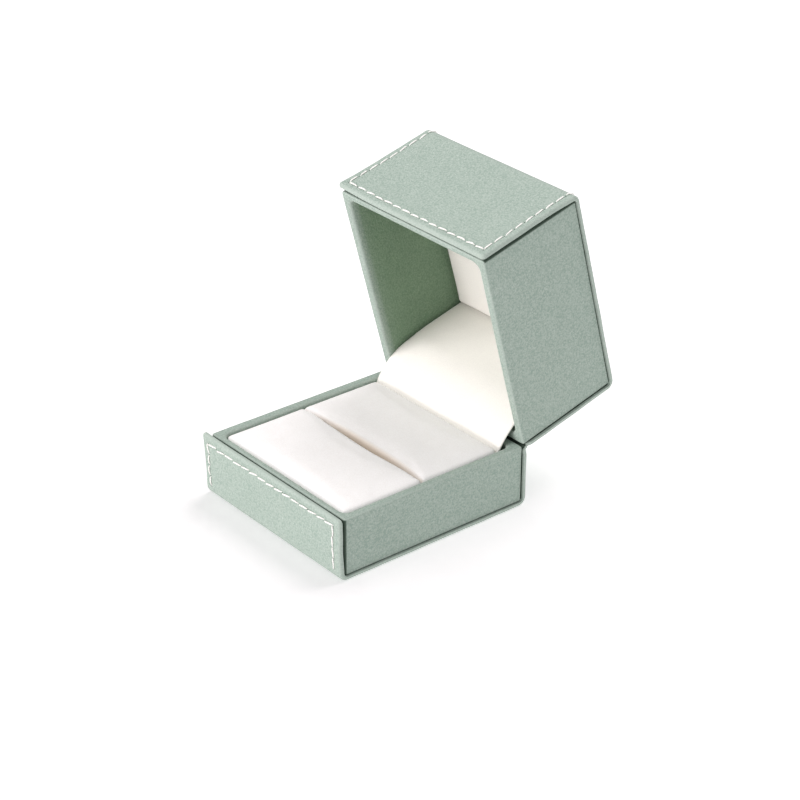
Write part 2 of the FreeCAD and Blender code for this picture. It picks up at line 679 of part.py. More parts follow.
def band_between(front, back, half_width):
    """Solid between two side lines, spread evenly to both sides of the YZ plane."""
    ends = [Part.makeLine(front[0].firstVertex(True).Point, back[0].firstVertex(True).Point),
            Part.makeLine(front[-1].lastVertex(True).Point, back[-1].lastVertex(True).Point)]
    outline_wire = Part.Wire(Part.__sortEdges__(front + back + ends))
    face = Part.Face(outline_wire)
    face.translate(FreeCAD.Vector(-half_width, 0, 0))
    return face.extrude(FreeCAD.Vector(2 * half_width, 0, 0))


def cover_strip():
    """Backed suede strip from behind the rear pad up over the hinge into the lid."""
    half = value(f"{ROOM_HALF_WIDTH} - strip_side_gap")
    shape = band_between(strip_edges(0.0), strip_edges(value("strip_thickness")), half)
    make_feature("hinge_cover_strip", shape)
    card_half = f"({ROOM_HALF_WIDTH} - strip_card_gap)"
    anchor_face = f"({STRIP_LEG} + strip_thickness + strip_card_gap)"
    floor_level = f"(base_height - {FLOOR_TOP})"
    slab("strip_anchor_card", "base", card_half, anchor_face,
         f"({anchor_face} + card_thickness)", f"{floor_level} - anchor_height", floor_level)
    lid_face = f"({HINGE_Y} - strip_lid_inset + strip_thickness + strip_card_gap)"
    slab("strip_lid_card", "lid", card_half, lid_face, f"({lid_face} + card_thickness)",
         "lid_card_start", f"({panel('lid')} - tray_board)")


# ---------------------------------------------------------------- hinge

def hinge_leaf(side, knuckles):
    """Bent steel leaf on the notched wall, with its share of the knuckles."""
    body = new_body(f"hinge_{side}_leaf", side)
    seat, top = level(side, "leaf_seat"), level(side, "leaf_seat - leaf_thickness")
    low = level(side, "leaf_seat + leaf_drop")
    free_edge = f"({HINGE_Y} - knuckle_radius - knuckle_relief)"
    profile = new_sketch(body, "profile", "YZ_Plane")
    outline(profile, [(LEAF_FACE, top), (free_edge, top), (free_edge, seat),
                      (ROOM_HALF_DEPTH, seat), (ROOM_HALF_DEPTH, low), (LEAF_FACE, low)])
    pad(body, "plate", profile, "hinge_length", both_ways=True)
    for index in knuckles:
        start = f"(-hinge_length / 2 + {index} * ({KNUCKLE_LENGTH} + knuckle_gap))"
        tab = new_sketch(body, f"tab{index}_profile", "YZ_Plane", start)
        rectangle(tab, free_edge, HINGE_Y, seat, top)
        pad(body, f"tab{index}", tab, KNUCKLE_LENGTH)
        curl = new_sketch(body, f"curl{index}_profile", "YZ_Plane", start)
        circle(curl, HINGE_Y, "base_height", "knuckle_radius")
        pad(body, f"curl{index}", curl, KNUCKLE_LENGTH)
    bore = new_sketch(body, "bore_profile", "YZ_Plane", "(-hinge_length / 2)")
    circle(bore, HINGE_Y, "base_height", "(pin_radius + pin_clearance)")
    pocket(body, "bore", bore, "hinge_length", reverse=True)
    tack_holes(body, side, "leaf_thickness")
    return body


def hinge_tacks(side):
    """Tacks that fasten one leaf to its rear wall."""
    face, row = value(LEAF_FACE), value(level(side, "tack_level"))
    inward = FreeCAD.Vector(0, 1, 0)
    tacks = []
    for place in TACK_PLACES:
        seat = FreeCAD.Vector(value(place), face, row)
        crown = seat - inward * value("tack_head_height")
        head = Part.makeCylinder(value("tack_head"), value("tack_head_height"), crown, inward)
        shank = Part.makeCylinder(value("tack_shank"), value("tack_length"), seat, inward)
        tacks.append(head.fuse(shank))
    return make_feature(f"hinge_{side}_tacks", Part.makeCompound(tacks), side)


def hinge_pin():
    """Straight steel pin through all the knuckles."""
    pin = doc.addObject("Part::Cylinder", "hinge_pin")
    pin.Label = "hinge_pin"
    bind(pin, "Radius", "pin_radius")
    bind(pin, "Height", "hinge_length + 2 * pin_overrun")
    pin.Placement = FreeCAD.Placement(
        FreeCAD.Vector(0, 0, 0), FreeCAD.Rotation(FreeCAD.Vector(0, 1, 0), 90))
    bind(pin, "Placement.Base.x", "-(hinge_length / 2 + pin_overrun)")
    bind(pin, "Placement.Base.y", HINGE_Y)
    bind(pin, "Placement.Base.z", "base_height")
    return pin


def bow_spring(name, place):
    """Flat spring bowed from leaf to leaf, which snaps the lid over its dead centre."""
    half_turn = math.radians(value("open_angle")) / 2
    hinge = FreeCAD.Vector(0, value(HINGE_Y), value("base_height"))
    middle_way = math.pi - half_turn
    half_steel = value("spring_thickness") / 2
    foot_y = value(f"{LEAF_FACE} - spring_foot_gap") - half_steel
    foot = FreeCAD.Vector(0, foot_y, value(level("base", "spring_foot_level")))
    spoke = foot - hinge
    reach = value("spring_reach")
    along = spoke.y * math.cos(middle_way) + spoke.z * math.sin(middle_way)
    back_off = (spoke.Length ** 2 - reach ** 2) / (2 * (along - reach))
    centre = hinge + point_at(FreeCAD.Vector(), back_off, middle_way)
    radius = abs(reach - back_off)
    foot_angle = math.atan2(foot.z - centre.z, foot.y - centre.y) % (2 * math.pi)
    far_angle = 2 * middle_way - foot_angle
    front = [arc_between(centre, radius + half_steel, foot_angle, far_angle)]
    back = [arc_between(centre, radius - half_steel, foot_angle, far_angle)]
    shape = band_between(front, back, value("spring_width") / 2)
    shape.translate(FreeCAD.Vector(place, 0, 0))
    return make_feature(name, shape)


# ---------------------------------------------------------------- whole box

def build():
    """Make every node of the box."""
    lid_lining = f"({panel('lid')} - tray_board - rim_gap)"
    for side, outer_name, lining_depth in (("base", "bottom", "base_lining_depth"),
                                           ("lid", "top", lid_lining)):
        tray_core(side)
        tray_cover(side, lining_depth)
        wrap_boards(side, outer_name)
        wrap_leather(side)
        stitching(side)
        hinge_tacks(side)
    spine_crease()
    cushion()
    lid_liner()
    cover_strip()
    knuckles = range(int(value("knuckle_count")))
    hinge_leaf("base", [index for index in knuckles if index % 2 == 0])
    hinge_leaf("lid", [index for index in knuckles if index % 2 == 1])
    hinge_pin()
    bow_spring("bow_spring_left", -value(SPRING_PLACE))
    bow_spring("bow_spring_right", value(SPRING_PLACE))


def nodes():
    """Objects that are handed over, one file each."""
    kinds = ("PartDesign::Body", "Part::Feature", "Part::Cylinder")
    return [piece for piece in doc.Objects if piece.TypeId in kinds]


def check_document():
    """Stop if any object failed or any node has no valid solid."""
    for item in doc.Objects:
        if "Invalid" in item.State or "Error" in item.State:
            raise RuntimeError(f"{item.Name} is {item.State}")
    for piece in nodes():
        shape = piece.Shape
        if shape.isNull() or not shape.isValid() or not shape.Solids:
            raise RuntimeError(f"{piece.Label} has no valid solid")


build()
doc.recompute()
check_document()
os.makedirs("parts", exist_ok=True)
for piece in nodes():
    piece.Shape.exportStep(os.path.join("parts", f"{piece.Label}.step"))
    print(f"{piece.Label}: {len(piece.Shape.Solids)} solid, {piece.Shape.Volume:.1f} mm3")
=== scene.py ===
"""Ring box standing open: a leatherette box with stitched edges, suede pads and a suede-lined lid.

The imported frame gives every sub-part's place. The classes below model what is seen of each
sub-assembly, in millimetres in the frame's axes, and dress it. Lid pieces are modelled with the
lid shut and swung open about the hinge line, as the frame has them.
"""

from __future__ import annotations

import json
import logging
import math
import random
from dataclasses import dataclass, field
from enum import Enum
from typing import Any, Callable, Iterable, Sequence

import bmesh
import bpy
from mathutils import Matrix, Vector, noise
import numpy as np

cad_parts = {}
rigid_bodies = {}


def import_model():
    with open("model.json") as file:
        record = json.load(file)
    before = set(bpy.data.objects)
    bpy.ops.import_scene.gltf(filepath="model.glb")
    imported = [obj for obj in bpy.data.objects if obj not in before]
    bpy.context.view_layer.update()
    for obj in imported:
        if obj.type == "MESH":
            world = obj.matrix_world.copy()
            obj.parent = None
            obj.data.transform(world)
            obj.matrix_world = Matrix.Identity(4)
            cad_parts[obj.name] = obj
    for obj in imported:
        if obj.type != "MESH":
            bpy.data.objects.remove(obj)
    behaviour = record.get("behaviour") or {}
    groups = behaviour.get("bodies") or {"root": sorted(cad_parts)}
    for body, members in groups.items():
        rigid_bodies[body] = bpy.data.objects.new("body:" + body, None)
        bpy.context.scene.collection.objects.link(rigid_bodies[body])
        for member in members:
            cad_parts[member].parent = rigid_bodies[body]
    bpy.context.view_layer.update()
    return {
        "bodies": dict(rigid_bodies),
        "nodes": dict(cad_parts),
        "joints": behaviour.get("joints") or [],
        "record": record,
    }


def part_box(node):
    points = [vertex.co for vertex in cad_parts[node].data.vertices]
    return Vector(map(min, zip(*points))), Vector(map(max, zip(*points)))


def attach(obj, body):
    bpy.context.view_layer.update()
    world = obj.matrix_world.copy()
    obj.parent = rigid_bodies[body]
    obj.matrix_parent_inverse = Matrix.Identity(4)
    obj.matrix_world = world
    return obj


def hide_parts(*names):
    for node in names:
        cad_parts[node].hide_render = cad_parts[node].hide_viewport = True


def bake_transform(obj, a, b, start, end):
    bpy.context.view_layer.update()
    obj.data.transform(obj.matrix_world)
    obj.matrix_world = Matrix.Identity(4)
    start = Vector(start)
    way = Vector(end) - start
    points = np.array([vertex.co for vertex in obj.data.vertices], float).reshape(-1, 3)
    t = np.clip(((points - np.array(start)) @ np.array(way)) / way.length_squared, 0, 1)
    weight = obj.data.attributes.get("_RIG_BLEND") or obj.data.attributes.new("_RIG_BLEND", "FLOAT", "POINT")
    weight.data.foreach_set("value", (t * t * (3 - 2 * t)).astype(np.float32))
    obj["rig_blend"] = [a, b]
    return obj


LOG = logging.getLogger("ring_box")

MM = 0.001  # millimetres to metres

Mesh = bmesh.types.BMesh
Piece = bpy.types.Object


class Side(Enum):
    """The two bodies that the hinge joins."""

    BASE = "base"
    LID = "lid"


class Slot(Enum):
    """Material slots of the record that new pieces take their finish from."""

    LEATHERETTE = "sage_leatherette"
    SUEDE = "white_suede"
    THREAD = "white_thread"


# ------------------------------------------------------------------ sizes shared by all pieces


@dataclass(frozen=True)
class BoxPlan:
    """Driving sizes of the box, in millimetres, and the places worked out from them."""

    width: float
    depth: float
    hinge_y: float
    hinge_z: float
    open_angle: float
    lid_height: float = 33.8
    rim_gap: float = 0.15
    wrap: float = 1.2
    overhang: float = 0.8
    fold_radius: float = 2.5
    crease_gap: float = 1.3
    wall: float = 2.7
    tray_board: float = 1.9

    @classmethod
    def from_frame(cls, frame: dict[str, Any]) -> BoxPlan:
        """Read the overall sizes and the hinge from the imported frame.


        Returns:
            The plan that all pieces share.
        """
        low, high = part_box("base_wrap_leather")
        joint = frame["joints"][0]
        return cls(
            width=(high.x - low.x) / MM,
            depth=(high.y - low.y) / MM,
            hinge_y=joint["pos_m"][1] / MM,
            hinge_z=joint["pos_m"][2] / MM,
            open_angle=joint["range_deg"][1],
        )

    @property
    def hinge(self) -> Vector:
        """Point of the hinge line in the middle of the box."""
        return Vector((0.0, self.hinge_y, self.hinge_z))

    @property
    def tray_half(self) -> Vector:
        """Half width and half depth of the covered tray."""
        return Vector((self.width / 2 - self.overhang, self.depth / 2 - self.wrap))

    @property
    def room_half(self) -> Vector:
        """Half width and half depth of the lined room."""
        return self.tray_half - Vector((self.wall, self.wall))

    def height(self, side: Side) -> float:
        """Hinge plane to outer panel."""
        return self.hinge_z if side is Side.BASE else self.lid_height

    def swing(self) -> Matrix:
        """Rotation that takes the shut lid to its open stop."""
        turn = Matrix.Rotation(-math.radians(self.open_angle), 4, "X")
        return Matrix.Translation(self.hinge) @ turn @ Matrix.Translation(-self.hinge)


def smooth(edge_low: float, edge_high: float, place: float) -> float:
    """Smooth ramp from 0 to 1 between two edges."""
    share = min(1.0, max(0.0, (place - edge_low) / (edge_high - edge_low)))
    return share * share * (3.0 - 2.0 * share)


def bell(place: float, centre: float, half_width: float) -> float:
    """Bell curve of height 1 about a centre."""
    return math.exp(-(((place - centre) / half_width) ** 2))


# ------------------------------------------------------------------ finishes


def linear(hex_colour: str) -> tuple[float, float, float, float]:
    """Turn an sRGB hex colour into linear light.

    Args:
        hex_colour: Six hex digits, without a hash.

    Returns:
        Linear red, green, blue and an alpha of one.
    """
    channels = []
    for index in (0, 2, 4):
        level = int(hex_colour[index:index + 2], 16) / 255
        channels.append(level / 12.92 if level <= 0.04045 else ((level + 0.055) / 1.055) ** 2.4)
    return (channels[0], channels[1], channels[2], 1.0)


def per_mm(size: float) -> float:
    """Texture scale, in Object coordinates of metres, that gives features of this size in mm."""
    return 1.0 / (size * MM)


def add_node(tree: bpy.types.NodeTree, kind: str, settings: dict[str, Any] | None = None,
             inputs: dict[str | int, Any] | None = None) -> bpy.types.Node:
    """Add a node with its settings, values and links.

    Args:
        tree: Node tree of the material.
        kind: Blender's name of the node type.
        settings: Properties of the node.
        inputs: Value, or output socket to link, for each input by name or number.

    Returns:
        The new node.
    """
    node = tree.nodes.new(kind)
    for name, setting in (settings or {}).items():
        setattr(node, name, setting)
    for key, source in (inputs or {}).items():
        if isinstance(source, bpy.types.NodeSocket):
            tree.links.new(source, node.inputs[key])
        else:
            node.inputs[key].default_value = source
    return node


def paint_ramp(node: bpy.types.Node, stops: Sequence[tuple[float, str]]) -> None:
    """Set the stops of a colour ramp.

    Args:
        node: The ramp.
        stops: Place and sRGB hex colour of each stop.
    """
    elements = node.color_ramp.elements
    while len(elements) < len(stops):
        elements.new(0.5)
    for element, (place, colour) in zip(elements, stops):
        element.position = place
        element.color = linear(colour)


class Finish:
    """A finish that is turned into one Blender material when a piece first needs it."""

    made: dict[str, bpy.types.Material] = {}
    name: str

    def material(self) -> bpy.types.Material:
        """Make the finish's material, or find it if it is made already.

        Returns:
            The material.
        """
        if self.name not in Finish.made:
            material = bpy.data.materials.new(self.name)
            material.use_nodes = True
            material.node_tree.nodes.clear()
            shader = add_node(material.node_tree, "ShaderNodeBsdfPrincipled")
            add_node(material.node_tree, "ShaderNodeOutputMaterial",
                     inputs={"Surface": shader.outputs["BSDF"]})
            self.paint(material.node_tree, shader)
            Finish.made[self.name] = material
        return Finish.made[self.name]

    def paint(self, tree: bpy.types.NodeTree, shader: bpy.types.Node) -> None:
        """Add the nodes of this finish.

        Args:
            tree: Node tree with the shader and its output.
            shader: Principled shader to feed.
        """
        raise NotImplementedError


@dataclass(frozen=True)
class Leatherette(Finish):
    """Embossed polyurethane leatherette, calendered on cloth.

    The eye gets a dry, even surface with a fine pebble grain and a faint mottle. Where it is
    pulled over an edge the grain flattens and the colour turns paler. Painted shade darkens
    the walls of the tray's room deeper down and the gaps where the wrap meets the tray.
    """

    name: str = "polyurethane_leatherette_sage"
    valley: str = "91A398"
    ground: str = "A8B6AC"
    crest: str = "B9C5BD"
    stretched: str = "B3BFB6"
    # painted shade: the walls of the tray's room darker deeper down
    painted_room_shade_tint: str = "BFD1B7"
    # painted shade in the gaps where the wrap meets the tray
    painted_gap_shade_tint: str = "6A786E"
    grain_mm: float = 0.46  # the real pebble is nearer 0.3 mm; it is coarser here so that it shows
    mottle_mm: float = 0.5
    cloud_mm: float = 9.0
    relief_mm: float = 0.12

    def paint(self, tree: bpy.types.NodeTree, shader: bpy.types.Node) -> None:
        """Add the grain, the mottle, the stretched edges and the painted shade in the room and the seams."""
        place = add_node(tree, "ShaderNodeTexCoord").outputs["Object"]
        mottle = add_node(tree, "ShaderNodeTexNoise", {"noise_dimensions": "3D"},
                          {"Vector": place, "Scale": per_mm(self.mottle_mm), "Detail": 3.0,
                           "Roughness": 0.62, "Distortion": 0.6})
        cloud = add_node(tree, "ShaderNodeTexNoise", {"noise_dimensions": "3D"},
                         {"Vector": place, "Scale": per_mm(self.cloud_mm), "Detail": 2.0})
        warp = add_node(tree, "ShaderNodeMix", {"data_type": "VECTOR"},
                        {"Factor": 0.00035, 4: place, 5: mottle.outputs["Color"]})
        grain = add_node(tree, "ShaderNodeTexVoronoi", {"feature": "SMOOTH_F1"},
                         {"Vector": warp.outputs[1], "Scale": per_mm(self.grain_mm),
                          "Smoothness": 0.55})
        pebble = add_node(tree, "ShaderNodeMath", {"operation": "MULTIPLY_ADD"},
                          {0: grain.outputs["Distance"], 1: -0.55,
                           2: mottle.outputs["Fac"]})
        tone = add_node(tree, "ShaderNodeMath", {"operation": "MULTIPLY_ADD"},
                        {0: cloud.outputs["Fac"], 1: 0.1, 2: pebble.outputs[0]})
        ramp = add_node(tree, "ShaderNodeValToRGB", inputs={0: tone.outputs[0]})
        paint_ramp(ramp, [(0.1, self.valley), (0.42, self.ground), (0.75, self.crest)])
        stretch = add_node(tree, "ShaderNodeAttribute", {"attribute_name": "stretch"})
        pale = add_node(tree, "ShaderNodeMath", {"operation": "MULTIPLY", "use_clamp": True},
                        {0: stretch.outputs["Fac"], 1: 0.5})
        colour = add_node(tree, "ShaderNodeMix", {"data_type": "RGBA"},
                          {0: pale.outputs[0], 6: ramp.outputs["Color"],
                           7: linear(self.stretched)})
        tinted = colour.outputs[2]
        # painted shade multiplied in: deeper in the tray's room and in the gaps where the wrap meets the
        # tray
        for mark, tint in (("painted_room_shade", self.painted_room_shade_tint), ("painted_gap_shade", self.painted_gap_shade_tint)):
            share = add_node(tree, "ShaderNodeAttribute", {"attribute_name": mark})
            tinted = add_node(tree, "ShaderNodeMix",
                              {"data_type": "RGBA", "blend_type": "MULTIPLY"},
                              {0: share.outputs["Fac"], 6: tinted, 7: linear(tint)}).outputs[2]
        depth = add_node(tree, "ShaderNodeMath", {"operation": "MULTIPLY_ADD"},
                         {0: pale.outputs[0], 1: -0.8, 2: 0.9})
        bump = add_node(tree, "ShaderNodeBump", inputs={
            "Strength": depth.outputs[0], "Distance": self.relief_mm * MM,
            "Height": pebble.outputs[0]})
        gloss = add_node(tree, "ShaderNodeMapRange",
                         inputs={"Value": pebble.outputs[0], "From Min": 0.1, "From Max": 0.7,
                                 "To Min": 0.72, "To Max": 0.56})
        tree.links.new(tinted, shader.inputs["Base Color"])
        tree.links.new(gloss.outputs["Result"], shader.inputs["Roughness"])
        tree.links.new(bump.outputs["Normal"], shader.inputs["Normal"])
        shader.inputs["IOR"].default_value = 1.46
        shader.inputs["Specular IOR Level"].default_value = 0.35


@dataclass(frozen=True)
class Suede(Finish):
    """Brushed microfibre suede.

    The eye gets a soft, chalky white with a short nap that lies in faint patches and glows at
    grazing angles; where the pads meet at the slot, painted shade darkens it to a warm beige.
    """

    name: str = "microfibre_suede_white"
    shade: str = "F3F1EF"
    light: str = "FEFDFC"
    # painted shade in the slot between the pads
    painted_slot_shade_tint: str = "CFC3B2"
    nap_mm: float = 0.3  # tufts rather than single fibres, which are too fine to show
    patch_mm: float = 7.0
    relief_mm: float = 0.045

    def paint(self, tree: bpy.types.NodeTree, shader: bpy.types.Node) -> None:
        """Add the nap, its patches and the painted shade at the slot."""
        place = add_node(tree, "ShaderNodeTexCoord").outputs["Object"]
        patch = add_node(tree, "ShaderNodeTexNoise", {"noise_dimensions": "3D"},
                         {"Vector": place, "Scale": per_mm(self.patch_mm), "Detail": 3.0,
                          "Distortion": 1.2})
        nap = add_node(tree, "ShaderNodeTexNoise", {"noise_dimensions": "3D"},
                       {"Vector": place, "Scale": per_mm(self.nap_mm), "Detail": 2.0,
                        "Roughness": 0.7})
        tone = add_node(tree, "ShaderNodeMath", {"operation": "MULTIPLY_ADD"},
                        {0: patch.outputs["Fac"], 1: 0.25, 2: nap.outputs["Fac"]})
        ramp = add_node(tree, "ShaderNodeValToRGB", inputs={0: tone.outputs[0]})
        paint_ramp(ramp, [(0.4, self.shade), (0.85, self.light)])
        # painted shade: the slot between the pads darkened to a warm beige
        painted_slot_shade = add_node(tree, "ShaderNodeAttribute", {"attribute_name": "painted_slot_shade"})
        tinted = add_node(tree, "ShaderNodeMix", {"data_type": "RGBA", "blend_type": "MULTIPLY"},
                          {0: painted_slot_shade.outputs["Fac"], 6: ramp.outputs["Color"],
                           7: linear(self.painted_slot_shade_tint)})
        bump = add_node(tree, "ShaderNodeBump", inputs={
            "Strength": 0.6, "Distance": self.relief_mm * MM, "Height": nap.outputs["Fac"]})
        tree.links.new(tinted.outputs[2], shader.inputs["Base Color"])
        tree.links.new(bump.outputs["Normal"], shader.inputs["Normal"])
        shader.inputs["Roughness"].default_value = 0.92
        shader.inputs["Specular IOR Level"].default_value = 0.2
        shader.inputs["Sheen Weight"].default_value = 0.25
        shader.inputs["Sheen Roughness"].default_value = 0.45


@dataclass(frozen=True)
class Thread(Finish):
    """Bonded polyester sewing thread: a bright, slightly glossy white with a tight twist."""

    name: str = "bonded_polyester_thread"
    shade: str = "DEDDD8"
    light: str = "F8F7F3"
    ply_mm: float = 0.35

    def paint(self, tree: bpy.types.NodeTree, shader: bpy.types.Node) -> None:
        """Add the shading between the plies."""
        place = add_node(tree, "ShaderNodeTexCoord").outputs["Object"]
        ply = add_node(tree, "ShaderNodeTexNoise", {"noise_dimensions": "3D"},
                       {"Vector": place, "Scale": per_mm(self.ply_mm), "Detail": 1.0})
        ramp = add_node(tree, "ShaderNodeValToRGB", inputs={0: ply.outputs["Fac"]})
        paint_ramp(ramp, [(0.3, self.shade), (0.55, self.light)])
        tree.links.new(ramp.outputs["Color"], shader.inputs["Base Color"])
        shader.inputs["Roughness"].default_value = 0.5


@dataclass(frozen=True)
class PaintedHoleShade(Finish):
    """Mouth of a needle hole: painted shade, the dark of the hole's depth."""

    name: str = "needle_hole_painted_shade"
    shade: str = "3B4A41"
    light: str = "566A5D"
    fibre_mm: float = 0.12

    def paint(self, tree: bpy.types.NodeTree, shader: bpy.types.Node) -> None:
        """Add fibre-like flecks to the painted shade."""
        place = add_node(tree, "ShaderNodeTexCoord").outputs["Object"]
        fibre = add_node(tree, "ShaderNodeTexNoise", {"noise_dimensions": "3D"},
                         {"Vector": place, "Scale": per_mm(self.fibre_mm)})
        ramp = add_node(tree, "ShaderNodeValToRGB", inputs={0: fibre.outputs["Fac"]})
        paint_ramp(ramp, [(0.35, self.shade), (0.7, self.light)])
        tree.links.new(ramp.outputs["Color"], shader.inputs["Base Color"])
        shader.inputs["Roughness"].default_value = 0.95
        shader.inputs["Specular IOR Level"].default_value = 0.1


@dataclass(frozen=True)
class PulpBoard(Finish):
    """Pressed pulp board: matt, with flecks of fibre in a felted ground."""

    name: str = "recycled_greyboard"
    ground: str = "9A948B"
    fleck: str = "6F6A63"
    fleck_mm: float = 0.5
    relief_mm: float = 0.03

    def paint(self, tree: bpy.types.NodeTree, shader: bpy.types.Node) -> None:
        """Add the flecks and the felted relief."""
        place = add_node(tree, "ShaderNodeTexCoord").outputs["Object"]
        fleck = add_node(tree, "ShaderNodeTexNoise", {"noise_dimensions": "3D"},
                         {"Vector": place, "Scale": per_mm(self.fleck_mm), "Detail": 4.0,
                          "Distortion": 2.0})
        ramp = add_node(tree, "ShaderNodeValToRGB", inputs={0: fleck.outputs["Fac"]})
        paint_ramp(ramp, [(0.36, self.fleck), (0.5, self.ground)])
        bump = add_node(tree, "ShaderNodeBump", inputs={
            "Strength": 0.4, "Distance": self.relief_mm * MM, "Height": fleck.outputs["Fac"]})
        tree.links.new(ramp.outputs["Color"], shader.inputs["Base Color"])
        tree.links.new(bump.outputs["Normal"], shader.inputs["Normal"])
        shader.inputs["Roughness"].default_value = 0.9


@dataclass(frozen=True)
class RolledSteel(Finish):
    """Cold-rolled steel with a thin plating: fine lines along the rolling direction."""

    name: str = "nickel_plated_steel"
    colour: str = "C9C6BF"
    roughness: float = 0.34
    line_mm: float = 0.08  # bundles of rolling lines, which are too fine to show singly

    def paint(self, tree: bpy.types.NodeTree, shader: bpy.types.Node) -> None:
        """Add the rolling lines."""
        place = add_node(tree, "ShaderNodeTexCoord").outputs["Object"]
        drawn = add_node(tree, "ShaderNodeMapping",
                         inputs={"Vector": place, "Scale": (0.04, 1.0, 1.0)})
        line = add_node(tree, "ShaderNodeTexNoise", {"noise_dimensions": "3D"},
                        {"Vector": drawn.outputs[0], "Scale": per_mm(self.line_mm)})
        gloss = add_node(tree, "ShaderNodeMapRange",
                         inputs={"Value": line.outputs["Fac"], "To Min": self.roughness - 0.1,
                                 "To Max": self.roughness + 0.14})
        tree.links.new(gloss.outputs["Result"], shader.inputs["Roughness"])
        shader.inputs["Base Color"].default_value = linear(self.colour)
        shader.inputs["Metallic"].default_value = 1.0


LEATHERETTE = Leatherette()
PAD_SUEDE = Suede()
STRIP_SUEDE = Suede(name="microfibre_suede_ivory", shade="EEECE6", light="F7F5EE", patch_mm=11.0)
THREAD = Thread()
PAINTED_HOLE_SHADE = PaintedHoleShade()
GREYBOARD = PulpBoard()
INSERT_CARD = PulpBoard(name="bleached_insert_card", ground="D8D4CB", fleck="BDB8AC",
                        fleck_mm=0.35)
PLATED = RolledSteel()
BLUED = RolledSteel(name="blued_spring_steel", colour="7C8290", roughness=0.26)


# ------------------------------------------------------------------ mesh helpers


def finish_piece(mesh: Mesh, name: str, finish: Finish,
                 sharp_angle: float = 50.0) -> Piece:
    """Turn a bmesh in millimetres into an object in metres, with its finish.

    Args:
        mesh: The bmesh, which is freed.
        name: Name of the piece.
        finish: Finish that dresses it.
        sharp_angle: Edges that turn more than this many degrees stay crisp.

    Returns:
        The new object, at the origin.
    """
    bmesh.ops.scale(mesh, vec=(MM, MM, MM), verts=mesh.verts)
    data = bpy.data.meshes.new(name)
    mesh.to_mesh(data)
    mesh.free()
    data.polygons.foreach_set("use_smooth", [True] * len(data.polygons))
    data.set_sharp_from_angle(angle=math.radians(sharp_angle))
    piece = bpy.data.objects.new(name, data)
    bpy.context.scene.collection.objects.link(piece)
    data.materials.append(finish.material())
    LOG.info("%s: %d faces", name, len(data.polygons))
    return piece


def box_mesh(low: Vector, high: Vector) -> Mesh:
    """Make a box.

    Args:
        low: Its lowest corner.
        high: Its highest corner.

    Returns:
        The box as a new bmesh.
    """
    mesh = bmesh.new()
    bmesh.ops.create_cube(mesh, size=1.0)
    bmesh.ops.scale(mesh, vec=high - low, verts=mesh.verts)
    bmesh.ops.translate(mesh, vec=(low + high) / 2, verts=mesh.verts)
    return mesh


def round_edges(mesh: Mesh, edges: Iterable[bmesh.types.BMEdge], radius: float,
                segments: int) -> None:
    """Round some edges.

    Args:
        mesh: Mesh that the edges belong to.
        edges: The edges.
        radius: How far back from the edge the rounding begins.
        segments: Faces across the rounding.
    """
    bmesh.ops.bevel(mesh, geom=list(edges), offset=radius, offset_type="OFFSET",
                    segments=segments, profile=0.5, affect="EDGES", material=-1,
                    clamp_overlap=True)


def slice_mesh(mesh: Mesh, axis: int, places: Iterable[float]) -> None:
    """Cut every face where it crosses planes along one axis, so that it can bend there.

    Args:
        mesh: Mesh to cut.
        axis: Number of the axis that the planes stand across.
        places: Where the planes are on that axis.
    """
    normal = Vector((0.0, 0.0, 0.0))
    normal[axis] = 1.0
    for place in places:
        point = normal * place
        bmesh.ops.bisect_plane(mesh, geom=mesh.verts[:] + mesh.edges[:] + mesh.faces[:],
                               dist=1e-4, plane_co=point, plane_no=normal)


def spaced(low: float, high: float, step: float) -> list[float]:
    """Evenly spaced places strictly between two ends."""
    count = max(1, round((high - low) / step))
    return [low + (high - low) * index / count for index in range(1, count)]


def sculpt(mesh: Mesh, shift: Callable[[Vector, Vector], Vector]) -> None:
    """Move every vertex.

    Args:
        mesh: Mesh to shape.
        shift: Gives the move for a place and its normal.
    """
    mesh.normal_update()
    moves = [(vert, shift(vert.co.copy(), vert.normal.copy())) for vert in mesh.verts]
    for vert, move in moves:
        vert.co += move


def mark_stretch(mesh: Mesh, spread: float = 0.2) -> None:
    """Write how far the leatherette is pulled over an edge, from how far a normal leans.

    Args:
        mesh: Mesh whose layer "stretch" is written.
        spread: Lean at which the leatherette counts as fully stretched.
    """
    mesh.normal_update()
    layer = mesh.verts.layers.float.get("stretch") or mesh.verts.layers.float.new("stretch")
    for vert in mesh.verts:
        lean = 1.0 - max(abs(component) for component in vert.normal)
        vert[layer] = min(1.0, lean / spread)


def ripple(point: Vector, size: float, seed: float) -> float:
    """Smooth noise between about -1 and 1 with features of a size in mm."""
    return noise.noise(point / size + Vector((seed, -seed, seed * 0.5)))


# ------------------------------------------------------------------ folded sheets


@dataclass(frozen=True)
class Run:
    """Straight stretch of a sheet, with its cross rows at steps of a length."""

    length: float
    steps: tuple[float, ...]

    @classmethod
    def even(cls, length: float, step: float) -> Run:
        """Stretch whose rows are evenly spaced."""
        count = max(1, round(length / step))
        return cls(length, (length / count,) * count)

    @classmethod
    def fine_at_start(cls, length: float, edge: Sequence[float], fine: float,
                      fine_length: float, coarse: float) -> Run:
        """Stretch with rows for its rolled edge, then close rows, then wider ones.

        Args:
            length: Length of the stretch.
            edge: Distances of the rolled edge's rows from the start.
            fine: Step of the close rows.
            fine_length: Where the close rows end.
            coarse: Step of the wider rows.

        Returns:
            The stretch.
        """
        roll = tuple(b - a for a, b in zip((0.0, *edge), edge))
        close = cls.even(fine_length - edge[-1], fine).steps
        wide = cls.even(length - fine_length, coarse).steps
        return cls(length, roll + close + wide)

    def reversed(self) -> Run:
        """The same stretch from its other end."""
        return Run(self.length, self.steps[::-1])


@dataclass(frozen=True)
class Fold:
    """Fold of a sheet: radius of the face that the path follows, and its turn in degrees."""

    radius: float
    turn: float
    count: int

    @property
    def length(self) -> float:
        """Length of the face round the fold."""
        return self.radius * math.radians(abs(self.turn))


